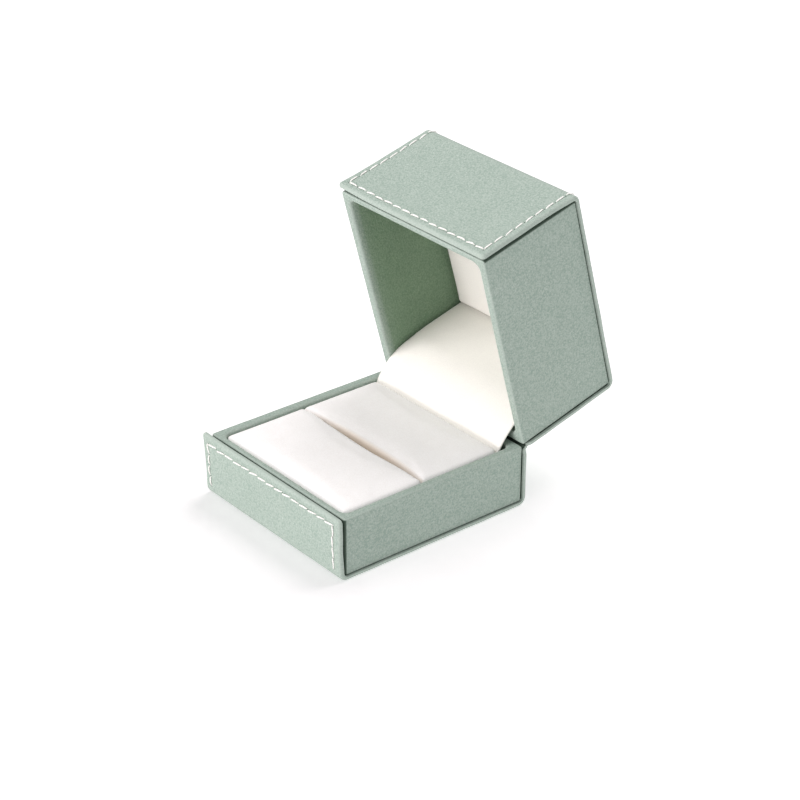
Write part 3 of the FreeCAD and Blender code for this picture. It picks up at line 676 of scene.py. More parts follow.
class SheetPath:
    """Side line of a sheet in the YZ plane, made of runs and folds."""

    def __init__(self, start: tuple[float, float], heading: float,
                 stretches: Sequence[Run | Fold]) -> None:
        """Lay out the path.

        Args:
            start: Y and Z of its first point.
            heading: Direction of its first run, in degrees from +Y towards +Z.
            stretches: Runs and folds in order.
        """
        self.stretches = list(stretches)
        self.starts: list[tuple[float, Vector, float]] = []
        point, angle, along = Vector((0.0, *start)), math.radians(heading), 0.0
        for stretch in self.stretches:
            self.starts.append((along, point.copy(), angle))
            point, angle = self._advance(stretch, point, angle, stretch.length)
            along += stretch.length
        self.length = along

    @staticmethod
    def _advance(stretch: Run | Fold, point: Vector, angle: float,
                 distance: float) -> tuple[Vector, float]:
        """Go a distance into one stretch.

        Args:
            stretch: The run or fold.
            point: Where it begins.
            angle: Its heading there, in radians.
            distance: How far to go.

        Returns:
            The point and the heading there.
        """
        if isinstance(stretch, Run):
            step = Vector((0.0, math.cos(angle), math.sin(angle)))
            return point + step * distance, angle
        side = math.copysign(1.0, stretch.turn)
        left = Vector((0.0, -math.sin(angle), math.cos(angle)))
        centre = point + left * stretch.radius * side
        turned = side * distance / stretch.radius
        arm = Matrix.Rotation(turned, 3, "X") @ (point - centre)
        return centre + arm, angle + turned

    def start_of(self, index: int) -> float:
        """Distance along the path where a stretch begins."""
        return self.starts[index][0]

    def at(self, along: float) -> tuple[Vector, Vector, Vector]:
        """Find a place on the path.

        Args:
            along: Distance along it.

        Returns:
            The point, the path's direction and its outward normal there.
        """
        for number in range(len(self.stretches) - 1, -1, -1):
            begin, point, angle = self.starts[number]
            if along >= begin or number == 0:
                point, angle = self._advance(self.stretches[number], point, angle, along - begin)
                break
        direction = Vector((0.0, math.cos(angle), math.sin(angle)))
        return point, direction, Vector((0.0, direction.z, -direction.y))

    def rows(self) -> list[float]:
        """Lay out the cross rows.

        Returns:
            Distances along the path of all rows after the first.
        """
        places = []
        for stretch, (begin, _, _) in zip(self.stretches, self.starts):
            if isinstance(stretch, Run):
                steps = stretch.steps
            else:
                steps = (stretch.length / stretch.count,) * stretch.count
            for step in steps:
                begin += step
                places.append(begin)
        return places

    def sheet(self, columns: Sequence[float]) -> Mesh:
        """Pull a row of edges along the path.

        Args:
            columns: Places across the sheet, along X.

        Returns:
            Open sheet whose vertices hold their distance along the path in the layer "along".
        """
        mesh = bmesh.new()
        layer = mesh.verts.layers.float.new("along")
        begin = self.at(0.0)[0]
        made = bmesh.ops.create_vert(mesh, co=begin + Vector((columns[0], 0.0, 0.0)))["vert"]
        for previous, column in zip(columns, columns[1:]):
            made = bmesh.ops.extrude_vert_indiv(mesh, verts=made)["verts"]
            bmesh.ops.translate(mesh, vec=(column - previous, 0.0, 0.0), verts=made)
        row = mesh.edges[:]
        place, heading = begin, self.at(0.0)[1]
        for along in self.rows():
            grown = bmesh.ops.extrude_edge_only(mesh, edges=row)["geom"]
            verts = [item for item in grown if isinstance(item, bmesh.types.BMVert)]
            row = [item for item in grown if isinstance(item, bmesh.types.BMEdge)]
            target = self.at(along)[0]
            bmesh.ops.translate(mesh, vec=target - place, verts=verts)
            for vert in verts:
                vert[layer] = along
            place = target
        return mesh


# ------------------------------------------------------------------ the wrap and its stitching


SWAY_LENGTH = 5.5  # a hand-guided seam wanders from side to side over this many millimetres


@dataclass(frozen=True)
class StitchRow:
    """Straight row of stitches on the wrap, between two places given as x and along."""

    side: Side
    start: tuple[float, float]
    end: tuple[float, float]
    sway: float = 0.12
    seed: float = 0.0

    @property
    def length(self) -> float:
        """Length of the row."""
        return math.dist(self.start, self.end)

    def place(self, distance: float) -> tuple[float, float]:
        """Find a place on the row, with the sway of a hand-guided seam.

        Args:
            distance: Distance along the row.

        Returns:
            Place across the strip and along it.
        """
        share = distance / self.length
        run_x, run_along = (b - a for a, b in zip(self.start, self.end))
        drift = self.sway * noise.noise(Vector((distance / SWAY_LENGTH, self.seed, 0.3)))
        return (self.start[0] + share * run_x - drift * run_along / self.length,
                self.start[1] + share * run_along + drift * run_x / self.length)


@dataclass
class Wrap:
    """Leatherette wrap over card: one strip from the base flap round to the lid flap.

    It goes from the base flap's free edge under the box, up the back and over the lid. Its own
    coordinates are x across it and the distance along it, which starts at that edge.
    """

    plan: BoxPlan
    crease_radius: float = 0.12
    crease_skin: float = 0.4
    edge_roll: float = 0.9
    corner: float = 1.0
    inner_roll: float = 0.15
    board_cover: float = 0.05
    stitch_inset: float = 2.3
    base_right_inset: float = 3.1
    pitch: float = 3.6
    groove_depth: float = 0.13
    groove_half: float = 0.5
    dimple_depth: float = 0.16
    dimple_radius: float = 0.55
    wander: float = 0.07
    curl: float = 0.9
    rise: float = 1.0
    flap_trim: float = 0.5
    uneven: float = 0.22
    pinch: float = 0.45
    row_step: float = 0.6
    fine_step: float = 0.3
    fine_length: float = 4.2
    hidden_step: float = 2.4
    crease_step: float = 0.2
    roll_rows: int = 6
    sewn_width: float = 4.4
    sewn_columns: int = 11
    column_step: float = 1.6
    curl_width: float = 20.0
    base_curl_height: float = 13.0
    lid_curl_height: float = 16.0
    right_curl_reach: float = 9.0
    rise_width: float = 16.0
    rise_height: float = 12.0
    rows: list[StitchRow] = field(init=False)
    path: SheetPath = field(init=False)

    def __post_init__(self) -> None:
        """Lay out the strip and its stitch rows."""
        self.path = self._lay_out()
        self.rows = self._stitch_rows()

    def _lay_out(self) -> SheetPath:
        """Lay out the side line of the strip's outer face, with the lid open.

        Returns:
            The path.
        """
        plan = self.plan
        half = plan.depth / 2
        flat = plan.depth - 2 * plan.fold_radius
        base_flap = plan.hinge_z - plan.rim_gap - plan.fold_radius
        base_back = plan.hinge_z - plan.fold_radius - plan.crease_gap
        lid_back = plan.lid_height - plan.fold_radius - plan.crease_gap
        lid_flap = plan.lid_height - plan.fold_radius - plan.rim_gap
        fold = Fold(plan.fold_radius, 90.0, 7)
        setback = half - plan.hinge_y
        rise = plan.crease_gap - setback * math.tan(math.radians(plan.open_angle / 2))
        radius = self.crease_radius
        crease = Fold(radius, -plan.open_angle, 6)
        to_crease = rise - radius * math.tan(math.radians(plan.open_angle / 2))
        at_crease = Run.even(to_crease, self.crease_step)
        base_end, lid_end = (
            Run.fine_at_start(flap, self.edge_rows(), self.fine_step, self.fine_length,
                              self.row_step) for flap in (base_flap, lid_flap))
        return SheetPath((-half, plan.hinge_z - plan.rim_gap), -90.0, [
            base_end, fold, Run.even(flat, self.hidden_step), fold,
            Run.even(base_back, self.row_step), at_crease, crease, at_crease,
            Run.even(lid_back, self.row_step), fold, Run.even(flat, self.row_step), fold,
            lid_end.reversed()])

    def _stitch_rows(self) -> list[StitchRow]:
        """Lay out the rows round both flaps, over the lid and down both backs.

        Returns:
            The rows.
        """
        edge = self.plan.width / 2 - self.stitch_inset
        base_right = self.plan.width / 2 - self.base_right_inset
        top, begin, end = self.stitch_inset, self.path.start_of, self.path.length
        last = end - self.stitch_inset
        foot = begin(1) - 0.4
        rows = [StitchRow(Side.BASE, (-edge, foot), (-edge, top), 0.5, 1.7),
                StitchRow(Side.BASE, (-edge, top), (base_right, top), 0.2, 2.9),
                StitchRow(Side.BASE, (base_right, top), (base_right, foot), 0.25, 4.1)]
        for x, seed in ((-edge, 5.3), (edge, 6.1)):
            rows.append(StitchRow(Side.BASE, (x, begin(4) + 0.6), (x, begin(5) - 0.8),
                                  seed=seed))
            rows.append(StitchRow(Side.LID, (x, begin(8) + 1.0), (x, last), seed=seed + 7.0))
        rows.append(StitchRow(Side.LID, (-edge, last), (edge, last), seed=9.7))
        return rows

    def edge_rows(self) -> list[float]:
        """Distances from the edge at which its rounding needs points."""
        return [self.edge_roll * (1.0 - math.cos(math.radians(90.0 / self.roll_rows * step)))
                for step in range(1, self.roll_rows + 1)]

    def columns(self) -> list[float]:
        """Space out the columns, closer where the side rows are sewn.

        Returns:
            Places across the strip.
        """
        half = self.plan.width / 2
        edge = self.edge_rows()
        fine_low, fine_high = half - self.sewn_width, half - edge[-1]
        fine = [fine_low + (fine_high - fine_low) * index / self.sewn_columns
                for index in range(self.sewn_columns + 1)]
        middle = [-fine_low] + spaced(-fine_low, fine_low, self.column_step) + [fine_low]
        rolled = fine[1:] + [half - distance for distance in reversed(edge[:-1])] + [half]
        return [-x for x in reversed(rolled)] + middle + rolled

    def round_off(self, x: float, along: float) -> tuple[float, float, float]:
        """Round the flaps' corners as seen from the front.

        Args:
            x: Place across the strip.
            along: Place along it.

        Returns:
            The rounded place across and along, and its distance from the edge.
        """
        half, length, radius = self.plan.width / 2, self.path.length, self.corner
        side, end = half - abs(x), min(along, length - along)
        if side >= radius or end >= radius:
            return x, along, min(side, end)
        out, up = radius - side, radius - end
        reach = math.hypot(out, up)
        if reach > 1e-6:
            squeeze = max(out, up) / reach
            out, up = out * squeeze, up * squeeze
        rounded_x = math.copysign(half - radius + out, x)
        rounded_along = radius - up if along < length / 2 else length - radius + up
        return rounded_x, rounded_along, radius - math.hypot(out, up)

    def roll_over(self, edge: float, along: float) -> float:
        """Round the strip's free edge as seen in section.

        Args:
            edge: Distance from the edge.
            along: Place along the strip.

        Returns:
            How far the outer face falls away there.
        """
        radius = min(self.edge_roll, 0.72 * self.skin(along))
        inside = max(0.0, radius - edge)
        return radius - math.sqrt(max(0.0, radius * radius - inside * inside))

    def skin(self, along: float) -> float:
        """Thickness of card and leatherette together, or of leatherette alone in the crease.

        Args:
            along: Place along the strip.

        Returns:
            The thickness there.
        """
        middle = self.path.start_of(6) + self.path.stretches[6].length / 2
        share = smooth(0.1, 0.32, abs(along - middle))
        full = self.plan.wrap + self.board_cover
        return self.crease_skin + (full - self.crease_skin) * share

    def relief(self, x: float, along: float) -> float:
        """Work out how far the seams pull the leatherette in.

        Args:
            x: Place across the strip.
            along: Place along it.

        Returns:
            Depth of the groove and the dimples there.
        """
        depth = 0.0
        for row in self.rows:
            run_x, run_along = (b - a for a, b in zip(row.start, row.end))
            share = ((x - row.start[0]) * run_x + (along - row.start[1]) * run_along)
            distance = min(max(share / row.length, 0.0), row.length)
            near_x, near_along = row.place(distance)
            gap = math.hypot(x - near_x, along - near_along)
            if gap > 5.0 * self.groove_half:
                continue
            count = max(1, round(row.length / self.pitch))
            phase = distance / row.length * count
            hole = abs(phase - round(phase)) * row.length / count
            depth = max(depth, self.groove_depth * bell(gap, 0.0, self.groove_half)
                        + self.dimple_depth * bell(math.hypot(gap, hole), 0.0,
                                                   self.dimple_radius))
        return depth

    def curl_out(self, x: float, along: float) -> float:
        """Work out how far the flaps' free corners stand off, mostly the left ones.

        Args:
            x: Place across the strip.
            along: Place along it.

        Returns:
            How far the strip stands off there.
        """
        half, length = self.plan.width / 2, self.path.length
        reach = max(0.0, 1.0 - (x + half) / self.curl_width) ** 2
        base = reach * max(0.0, 1.0 - along / self.base_curl_height) ** 1.6
        right = (max(0.0, 1.0 - (half - x) / self.right_curl_reach) ** 2
                 * max(0.0, 1.0 - along / self.right_curl_reach) ** 2)
        lid = reach * max(0.0, 1.0 - (length - along) / self.lid_curl_height) ** 1.6
        return self.curl * (base + 0.15 * right + 0.85 * lid)

    def trim(self, x: float, along: float) -> float:
        """Work out how far the side edges are set in, by their cut and at the crease.

        Args:
            x: Place across the strip.
            along: Place along it.

        Returns:
            Shift of the place, against x.
        """
        length = self.path.length
        middle = self.path.start_of(6) + self.path.stretches[6].length / 2
        pinch = self.pinch * smooth(1.8, 0.5, abs(along - middle))
        flap = max(smooth(17.0, 9.0, along), smooth(length - 33.0, length - 22.0, along))
        cut = self.uneven * (0.5 + 0.5 * ripple(Vector((0.0, along, x)), 5.0, 8.3))
        return (self.flap_trim * flap * smooth(22.0, 30.0, x)
                + math.copysign((cut + pinch) * smooth(27.0, 30.0, abs(x)), x))

    def rise_up(self, x: float, along: float) -> float:
        """How far the base flap's left corner is drawn up past its straight edge."""
        corner = max(0.0, 1.0 - (x + self.plan.width / 2) / self.rise_width) ** 2
        return self.rise * corner * smooth(self.rise_height, 0.0, along)

    def build(self) -> Piece:
        """Make the strip, sew its grooves, round its edges and bend it with the hinge.

        Returns:
            The strip.
        """
        mesh = self.path.sheet(self.columns())
        along = mesh.verts.layers.float["along"]
        stretch = mesh.verts.layers.float.new("stretch")
        depth = mesh.verts.layers.float.new("depth")
        # painted shade on the wrap's inner face against the tray, away from its edges
        painted_gap_shade = mesh.verts.layers.float.new("painted_gap_shade")
        bmesh.ops.recalc_face_normals(mesh, faces=mesh.faces)
        mesh.normal_update()
        if mesh.faces[0].normal.dot(self.path.at(0.3)[2]) < 0:
            bmesh.ops.reverse_faces(mesh, faces=mesh.faces[:])
        grown = bmesh.ops.extrude_face_region(mesh, geom=mesh.faces[:])["geom"]
        inner = {item for item in grown if isinstance(item, bmesh.types.BMVert)}
        for vert in mesh.verts:
            s, x = vert[along], vert.co.x
            _, direction, normal = self.path.at(s)
            round_x, round_s, edge = self.round_off(x, s)
            lift = self.curl_out(x, s)
            vert[depth] = float(vert in inner)
            if vert in inner:
                lift -= self.skin(s)
            else:
                lift += self.wander * ripple(Vector((x, s, 0.0)), 11.0, 3.1) - self.relief(x, s)
                lift -= self.roll_over(edge, s)
            vert.co += normal * lift + direction * (round_s - s - self.rise_up(x, s))
            vert.co.x = round_x - self.trim(x, s)
            vert[stretch] = max(smooth(1.0, 0.2, edge), 0.6 * self._fold_share(s))
            vert[painted_gap_shade] = vert[depth] * smooth(0.6, 0.85, edge)
        bmesh.ops.recalc_face_normals(mesh, faces=mesh.faces)
        mesh.normal_update()
        rim = [edge for edge in mesh.edges
               if len(edge.link_faces) == 2 and edge.calc_face_angle(0.0) > math.radians(60.0)
               and all(vert[depth] == 1.0 for vert in edge.verts)]
        round_edges(mesh, rim, self.inner_roll, 2)
        piece = finish_piece(mesh, "leatherette_wrap", LEATHERETTE, 70.0)
        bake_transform(piece, "base", "lid", start=(0.0, 0.0320, 0.0169),
                 end=(0.0, 0.03233, 0.017335))
        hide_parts("base_wrap_leather", "lid_wrap_leather", "spine_crease",
                    "base_front_board", "lid_front_board")
        return piece

    def _fold_share(self, along: float) -> float:
        """Find how far into a fold a place is.

        Args:
            along: Place along the strip.

        Returns:
            1 in the middle of a fold, 0 on the flats.
        """
        share = 0.0
        for stretch, (begin, _, _) in zip(self.path.stretches, self.path.starts):
            if isinstance(stretch, Fold) and stretch.radius > 1.0:
                middle = begin + stretch.length / 2
                share = max(share, bell(along, middle, stretch.length / 2))
        return share


@dataclass
class Stitching:
    """Lockstitches of thick thread that sink into their needle holes."""

    wrap: Wrap
    visible: tuple[float, float] = (3.7, 3.1)
    radius: float = 0.25
    slant: float = 6.0
    bow: float = 0.05
    proud: float = 0.04
    step_aside: float = 0.07
    dive: float = 0.4
    turn_spread: float = 4.0
    hole_radius: float = 0.14
    hole_depth: float = 0.22

    def build(self, side: Side) -> list[Piece]:
        """Make the threads and the needle holes of one body.

        Args:
            side: Body whose rows are sewn.

        Returns:
            The threads and the holes.
        """
        chance = random.Random(31 if side is Side.BASE else 57)
        threads, holes = bmesh.new(), bmesh.new()
        for row in (row for row in self.wrap.rows if row.side is side):
            count = max(1, round(row.length / self.wrap.pitch))
            step = row.length / count
            for index in range(count):
                self._thread(threads, row, step * (index + 0.5), step, chance)
            for index in range(count + 1):
                self._hole(holes, row, step * index, chance)
        name = side.value
        sewn = finish_piece(threads, f"{name}_lockstitches", THREAD, 60.0)
        # the holes' dark colour is painted shade
        shaded_holes = finish_piece(holes, f"{name}_needle_holes", PAINTED_HOLE_SHADE)
        for piece in (sewn, shaded_holes):
            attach(piece, name)
        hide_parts(f"{name}_stitching")
        return [sewn, shaded_holes]

    def _frame(self, row: StitchRow, distance: float) -> Matrix:
        """Find a place on the bent strip.

        Args:
            row: Row of stitches.
            distance: Distance along it.

        Returns:
            Frame there, with x along the row and z out of the leatherette.
        """
        wrap = self.wrap
        ends = []
        for shift in (-0.4, 0.0, 0.4):
            x, along = row.place(min(max(distance + shift, 0.0), row.length))
            point, direction, normal = wrap.path.at(along)
            point = point - direction * wrap.rise_up(x, along)
            point.x += x - wrap.trim(x, along)
            ends.append((point + normal * wrap.curl_out(x, along), normal))
        forward = (ends[2][0] - ends[0][0]).normalized()
        normal = ends[1][1]
        across = normal.cross(forward).normalized()
        frame = Matrix((forward, across, normal)).transposed().to_4x4()
        frame.translation = ends[1][0]
        return frame

    def _thread(self, mesh: Mesh, row: StitchRow, distance: float, step: float,
                chance: random.Random) -> None:
        """Add one stitch: plump in the middle, diving at both ends.

        Args:
            mesh: Mesh of the body's threads.
            row: Row that it belongs to.
            distance: Its middle's distance along the row.
            step: From one needle hole to the next.
            chance: Source of the small differences.
        """
        made = bmesh.ops.create_uvsphere(mesh, u_segments=8, v_segments=9, radius=1.0)["verts"]
        usual = self.visible[row.side is Side.LID] * (step / self.wrap.pitch)
        long = usual * chance.uniform(0.93, 1.05)
        thick = self.radius * chance.uniform(0.92, 1.1)
        twist = chance.uniform(0.0, math.tau)
        bow = self.bow + 0.6 * row.sway
        for vert in made:
            share = vert.co.z
            swell = max(1e-6, 1.0 - share * share)
            fat = swell ** 0.28 / max(1e-3, swell ** 0.5)
            lump = 1.0 + 0.09 * math.sin(2.6 * math.tau * share + twist + math.atan2(
                vert.co.y, vert.co.x))
            across = Vector((vert.co.x, vert.co.y)) * fat * thick * lump
            sink = self.dive * abs(share) ** 7
            aside = across.x + bow * (0.4 - share * share)
            vert.co = Vector((share * long / 2, aside, across.y * 0.8 - sink + self.proud))
        angle = self.slant + chance.uniform(-self.turn_spread, self.turn_spread)
        turn = Matrix.Rotation(math.radians(angle), 4, "Z")
        turn.translation.y = chance.uniform(-1.0, 1.0) * self.step_aside * (1.0 + 3.0 * row.sway)
        bmesh.ops.transform(mesh, matrix=self._frame(row, distance) @ turn, verts=made)
        faces = {face for vert in made for face in vert.link_faces}
        bmesh.ops.recalc_face_normals(mesh, faces=list(faces))

    def _hole(self, mesh: Mesh, row: StitchRow, distance: float,
              chance: random.Random) -> None:
        """Add the shaded mouth of one needle hole, sunk in its dimple.

        Args:
            mesh: Mesh of the body's holes.
            row: Row that it belongs to.
            distance: Its distance along the row.
            chance: Source of the small differences.
        """
        made = bmesh.ops.create_icosphere(mesh, subdivisions=1, radius=1.0)["verts"]
        wide = self.hole_radius * chance.uniform(0.8, 1.15)
        for vert in made:
            vert.co = Vector((vert.co.x * wide * 1.2, vert.co.y * wide - self.bow * 0.5,
                              vert.co.z * 0.12 - self.hole_depth))
        bmesh.ops.transform(mesh, matrix=self._frame(row, distance), verts=made)


# ------------------------------------------------------------------ trays


@dataclass
class Tray:
    """Greyboard tray covered in leatherette: walls, rounded rim and room, with painted shade in the room and
    the seams.
    """

    plan: BoxPlan
    side: Side
    corner: float = 0.7
    rear_corner: float = 0.65
    room_corner: float = 2.2
    rim_side: float = 0.6
    rim_end: float = 0.5
    rim_inner: float = 0.9
    heel: float = 1.5
    notch_half: float = 15.3
    notch_front: float = 27.4
    notch_depth: float = 1.1
    wander: float = 0.05
    corner_steps: int = 8
    seam_gap: float = 0.2
    flap_gap: float = 0.75
    closed_round: float = 0.25
    cut_step: float = 2.6
    cut_margin: float = 2.0
    height_step: float = 3.0
    # depths below the rim over which painted shade darkens the room's walls
    painted_room_shade_edge: tuple[float, float] = (0.6, 3.5)

    def _open_box(self, low: Vector, high: Vector, front: float, rear: float) -> Mesh:
        """Make a box with rounded upright corners and no top.

        Args:
            low: Its lowest corner.
            high: Its highest corner.
            front: Radius of the two corners at the front.
            rear: Radius of the two behind.

        Returns:
            The box, its floor at the low end.
        """
        mesh = box_mesh(low, high)
        for behind, radius in ((False, front), (True, rear)):
            upright = [edge for edge in mesh.edges
                       if abs(edge.verts[0].co.z - edge.verts[1].co.z) > 1.0
                       and (edge.verts[0].co.y > 0.0) is behind]
            round_edges(mesh, upright, radius, self.corner_steps)
        top = [face for face in mesh.faces if face.calc_center_median().z > high.z - 1e-3]
        bmesh.ops.delete(mesh, geom=top, context="FACES_ONLY")
        return mesh

    def _shell(self) -> Mesh:
        """Make the tray's walls, floor and rim.

        Returns:
            The tray standing upright, with the hinge plane at z 0.
        """
        plan = self.plan
        panel = plan.height(self.side) - plan.wrap
        closed = -panel + self.seam_gap
        top = -plan.rim_gap
        half = plan.tray_half
        mesh = self._open_box(Vector((-half.x, self.flap_gap - half.y, closed)),
                              Vector((half.x, half.y - self.seam_gap, top)),
                              self.corner, self.rear_corner)
        foot = [edge for edge in mesh.edges
                if all(vert.co.z < closed + 1e-3 for vert in edge.verts)]
        heels = [edge for edge in foot if abs(edge.verts[0].co.x - edge.verts[1].co.x) > 20.0]
        round_edges(mesh, heels, self.heel, 4)
        low = [edge for edge in mesh.edges
               if all(vert.co.z < closed + 1e-3 for vert in edge.verts)
               and abs(edge.verts[0].co.y - edge.verts[1].co.y) > 20.0]
        round_edges(mesh, low, self.closed_round, 3)
        inside = plan.room_half
        room = self._open_box(Vector((-inside.x, -inside.y, plan.tray_board - panel)),
                              Vector((inside.x, inside.y, top)),
                              self.room_corner, self.room_corner)
        bmesh.ops.reverse_faces(room, faces=room.faces[:])
        data = bpy.data.meshes.new("room")
        room.to_mesh(data)
        room.free()
        mesh.from_mesh(data)
        bpy.data.meshes.remove(data)
        open_edges = [edge for edge in mesh.edges if edge.is_boundary]
        bmesh.ops.bridge_loops(mesh, edges=open_edges)
        bmesh.ops.recalc_face_normals(mesh, faces=mesh.faces)
        mesh.normal_update()
        outside = plan.room_half + Vector((1.0, 1.0))

        def sort_rim(edge: bmesh.types.BMEdge) -> float:
            """Radius that an edge of the rim is rounded with, 0 for any other edge."""
            if edge.calc_face_angle(0.0) < 1.0:
                return 0.0
            first, second = (vert.co for vert in edge.verts)
            if abs(first.z - top) + abs(second.z - top) > 2e-3:
                return 0.0
            if all(abs(end.x) < outside.x and abs(end.y) < outside.y for end in (first, second)):
                return self.rim_inner
            return self.rim_end if abs(first.x - second.x) > 5.0 else self.rim_side

        for radius in (self.rim_side, self.rim_end, self.rim_inner):
            round_edges(mesh, [edge for edge in mesh.edges if sort_rim(edge) == radius],
                        radius, 5)
        return mesh

    def _settle(self, point: Vector, normal: Vector) -> Vector:
        """Find the move that gives hand-wrapped unevenness and the hinge's notch.

        Args:
            point: Place on the tray.
            normal: Normal there.

        Returns:
            The move.
        """
        move = normal * self.wander * ripple(point, 8.0, 5.2)
        lowest = -self.notch_depth
        if abs(point.x) < self.notch_half + 0.01 and point.y > self.notch_front:
            if point.z + move.z > lowest:
                move.z = lowest - point.z
        return move

    def _mark_painted_shade(self, mesh: Mesh) -> None:
        """Write where painted shade darkens the room's walls and where painted shade falls in the seams.

        Args:
            mesh: The tray, whose two layers of painted shade are written.
        """
        painted_room_shade = mesh.verts.layers.float.new("painted_room_shade")
        painted_gap_shade = mesh.verts.layers.float.new("painted_gap_shade")
        plan = self.plan
        high, low = self.painted_room_shade_edge
        room = plan.room_half + Vector((0.05, 0.05))
        closed = plan.wrap - plan.height(self.side) + self.seam_gap
        front, rear = self.flap_gap - plan.tray_half.y, plan.tray_half.y - self.seam_gap
        for vert in mesh.verts:
            x, y, z = vert.co
            if abs(x) < room.x and abs(y) < room.y:
                # painted shade, darker deeper down the room's walls
                vert[painted_room_shade] = smooth(-plan.rim_gap - high, -plan.rim_gap - low, z)
                continue
            # painted shade in the gaps behind the flap, at the rear and along the foot
            below = smooth(-plan.rim_gap - 0.25, -plan.rim_gap - 0.55, z)
            ahead = smooth(front + 0.75, front + 0.35, y)
            if self.side is Side.LID:
                ahead *= 0.3 + 0.7 * smooth(28.3, 28.9, abs(x))
            ends = max(ahead, smooth(rear - 0.2, rear, y)) * below
            vert[painted_gap_shade] = max(ends, smooth(closed + 0.15, closed, z))

    def build(self) -> Piece:
        """Make the tray, dress it and put it on its body.

        Returns:
            The tray.
        """
        plan, name = self.plan, self.side.value
        mesh = self._shell()
        reach = plan.tray_half - Vector((self.cut_margin, self.cut_margin))
        notch = self.notch_half
        cuts_x = spaced(-reach.x, reach.x, self.cut_step) + [-notch, notch]
        cuts_x += [-notch - 0.05, notch + 0.05]
        slice_mesh(mesh, 0, cuts_x)
        slice_mesh(mesh, 1, spaced(-reach.y, reach.y, self.cut_step) + [self.notch_front])
        above_floor = plan.wrap - plan.height(self.side) + self.seam_gap + self.closed_round
        slice_mesh(mesh, 2, spaced(-plan.height(self.side), 0.0, self.height_step)
                   + [-self.notch_depth, above_floor])
        mark_stretch(mesh)
        self._mark_painted_shade(mesh)
        sculpt(mesh, self._settle)
        if self.side is Side.LID:
            bmesh.ops.scale(mesh, vec=(1.0, 1.0, -1.0), verts=mesh.verts)
            bmesh.ops.reverse_faces(mesh, faces=mesh.faces[:])
        bmesh.ops.translate(mesh, vec=(0.0, 0.0, plan.hinge_z), verts=mesh.verts)
        if self.side is Side.LID:
            bmesh.ops.transform(mesh, matrix=plan.swing(), verts=mesh.verts)
        piece = finish_piece(mesh, f"{name}_covered_tray", LEATHERETTE, 45.0)
        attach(piece, name)
        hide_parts(f"{name}_tray_cover", f"{name}_tray_core")
        return piece


# ------------------------------------------------------------------ padded pieces

SWELL_SCALE = 0.01  # a millimetre is swelled as 10 mm, the size that cloth settings suit
SWELL_FRAMES = 20


def read_object(source: Piece) -> bpy.types.Mesh:
    """Mesh of an object with its modifiers applied."""
    graph = bpy.context.evaluated_depsgraph_get()
    return bpy.data.meshes.new_from_object(source.evaluated_get(graph), depsgraph=graph)


def swell(mesh: Mesh, glued: Callable[[Vector], bool], pressure: float, cap: float,
          voxel: float) -> Mesh:
    """Puff a closed form with the cloth solver, as foam presses its fabric out.

    Args:
        mesh: Closed form in millimetres, which is freed.
        glued: Says of a place whether the fabric is glued down there.
        pressure: Pressure inside.
        cap: Farthest that a point may move, in millimetres.
        voxel: Spacing of the fabric's points, in millimetres.

    Returns:
        The puffed form in millimetres.
    """
    bmesh.ops.scale(mesh, vec=(SWELL_SCALE,) * 3, verts=mesh.verts)
    data = bpy.data.meshes.new("pad_form")
    mesh.to_mesh(data)
    mesh.free()
    form = bpy.data.objects.new("pad_form", data)
    bpy.context.scene.collection.objects.link(form)
    remesh = form.modifiers.new("points", "REMESH")
    remesh.mode = "VOXEL"
    remesh.voxel_size = voxel * SWELL_SCALE
    remesh.adaptivity = 0.0
    even = read_object(form)
    form.modifiers.clear()
    form.data = even
    before = [vert.co.copy() for vert in even.vertices]
    group = form.vertex_groups.new(name="glued")
    group.add([index for index, place in enumerate(before)
               if glued(place / SWELL_SCALE)], 1.0, "REPLACE")
    cloth = form.modifiers.new("swell", "CLOTH")
    cloth.settings.quality = 6
    cloth.settings.mass = 0.3
    cloth.settings.tension_stiffness = 18.0
    cloth.settings.compression_stiffness = 18.0
    cloth.settings.shear_stiffness = 8.0
    cloth.settings.bending_stiffness = 1.2
    cloth.settings.use_pressure = True
    cloth.settings.uniform_pressure_force = pressure
    cloth.settings.vertex_group_mass = "glued"
    cloth.settings.effector_weights.gravity = 0.0
    cloth.collision_settings.use_collision = False
    scene = bpy.context.scene
    for frame in range(1, SWELL_FRAMES + 1):
        scene.frame_set(frame)
    puffed = read_object(form)
    after = [vert.co.copy() for vert in puffed.vertices]
    bpy.data.meshes.remove(puffed)
    form.modifiers.clear()
    scene.frame_set(1)
    farthest = 0.0
    for vert, old, new in zip(even.vertices, before, after):
        move = new - old
        farthest = max(farthest, move.length / SWELL_SCALE)
        if move.length > cap * SWELL_SCALE:
            move *= cap * SWELL_SCALE / move.length
        vert.co = old + move
    LOG.info("swelled %d points by up to %.2f mm", len(before), farthest)
    result = bmesh.new()
    result.from_mesh(even)
    bpy.data.objects.remove(form)
    bmesh.ops.scale(result, vec=(1.0 / SWELL_SCALE,) * 3, verts=result.verts)
    return result


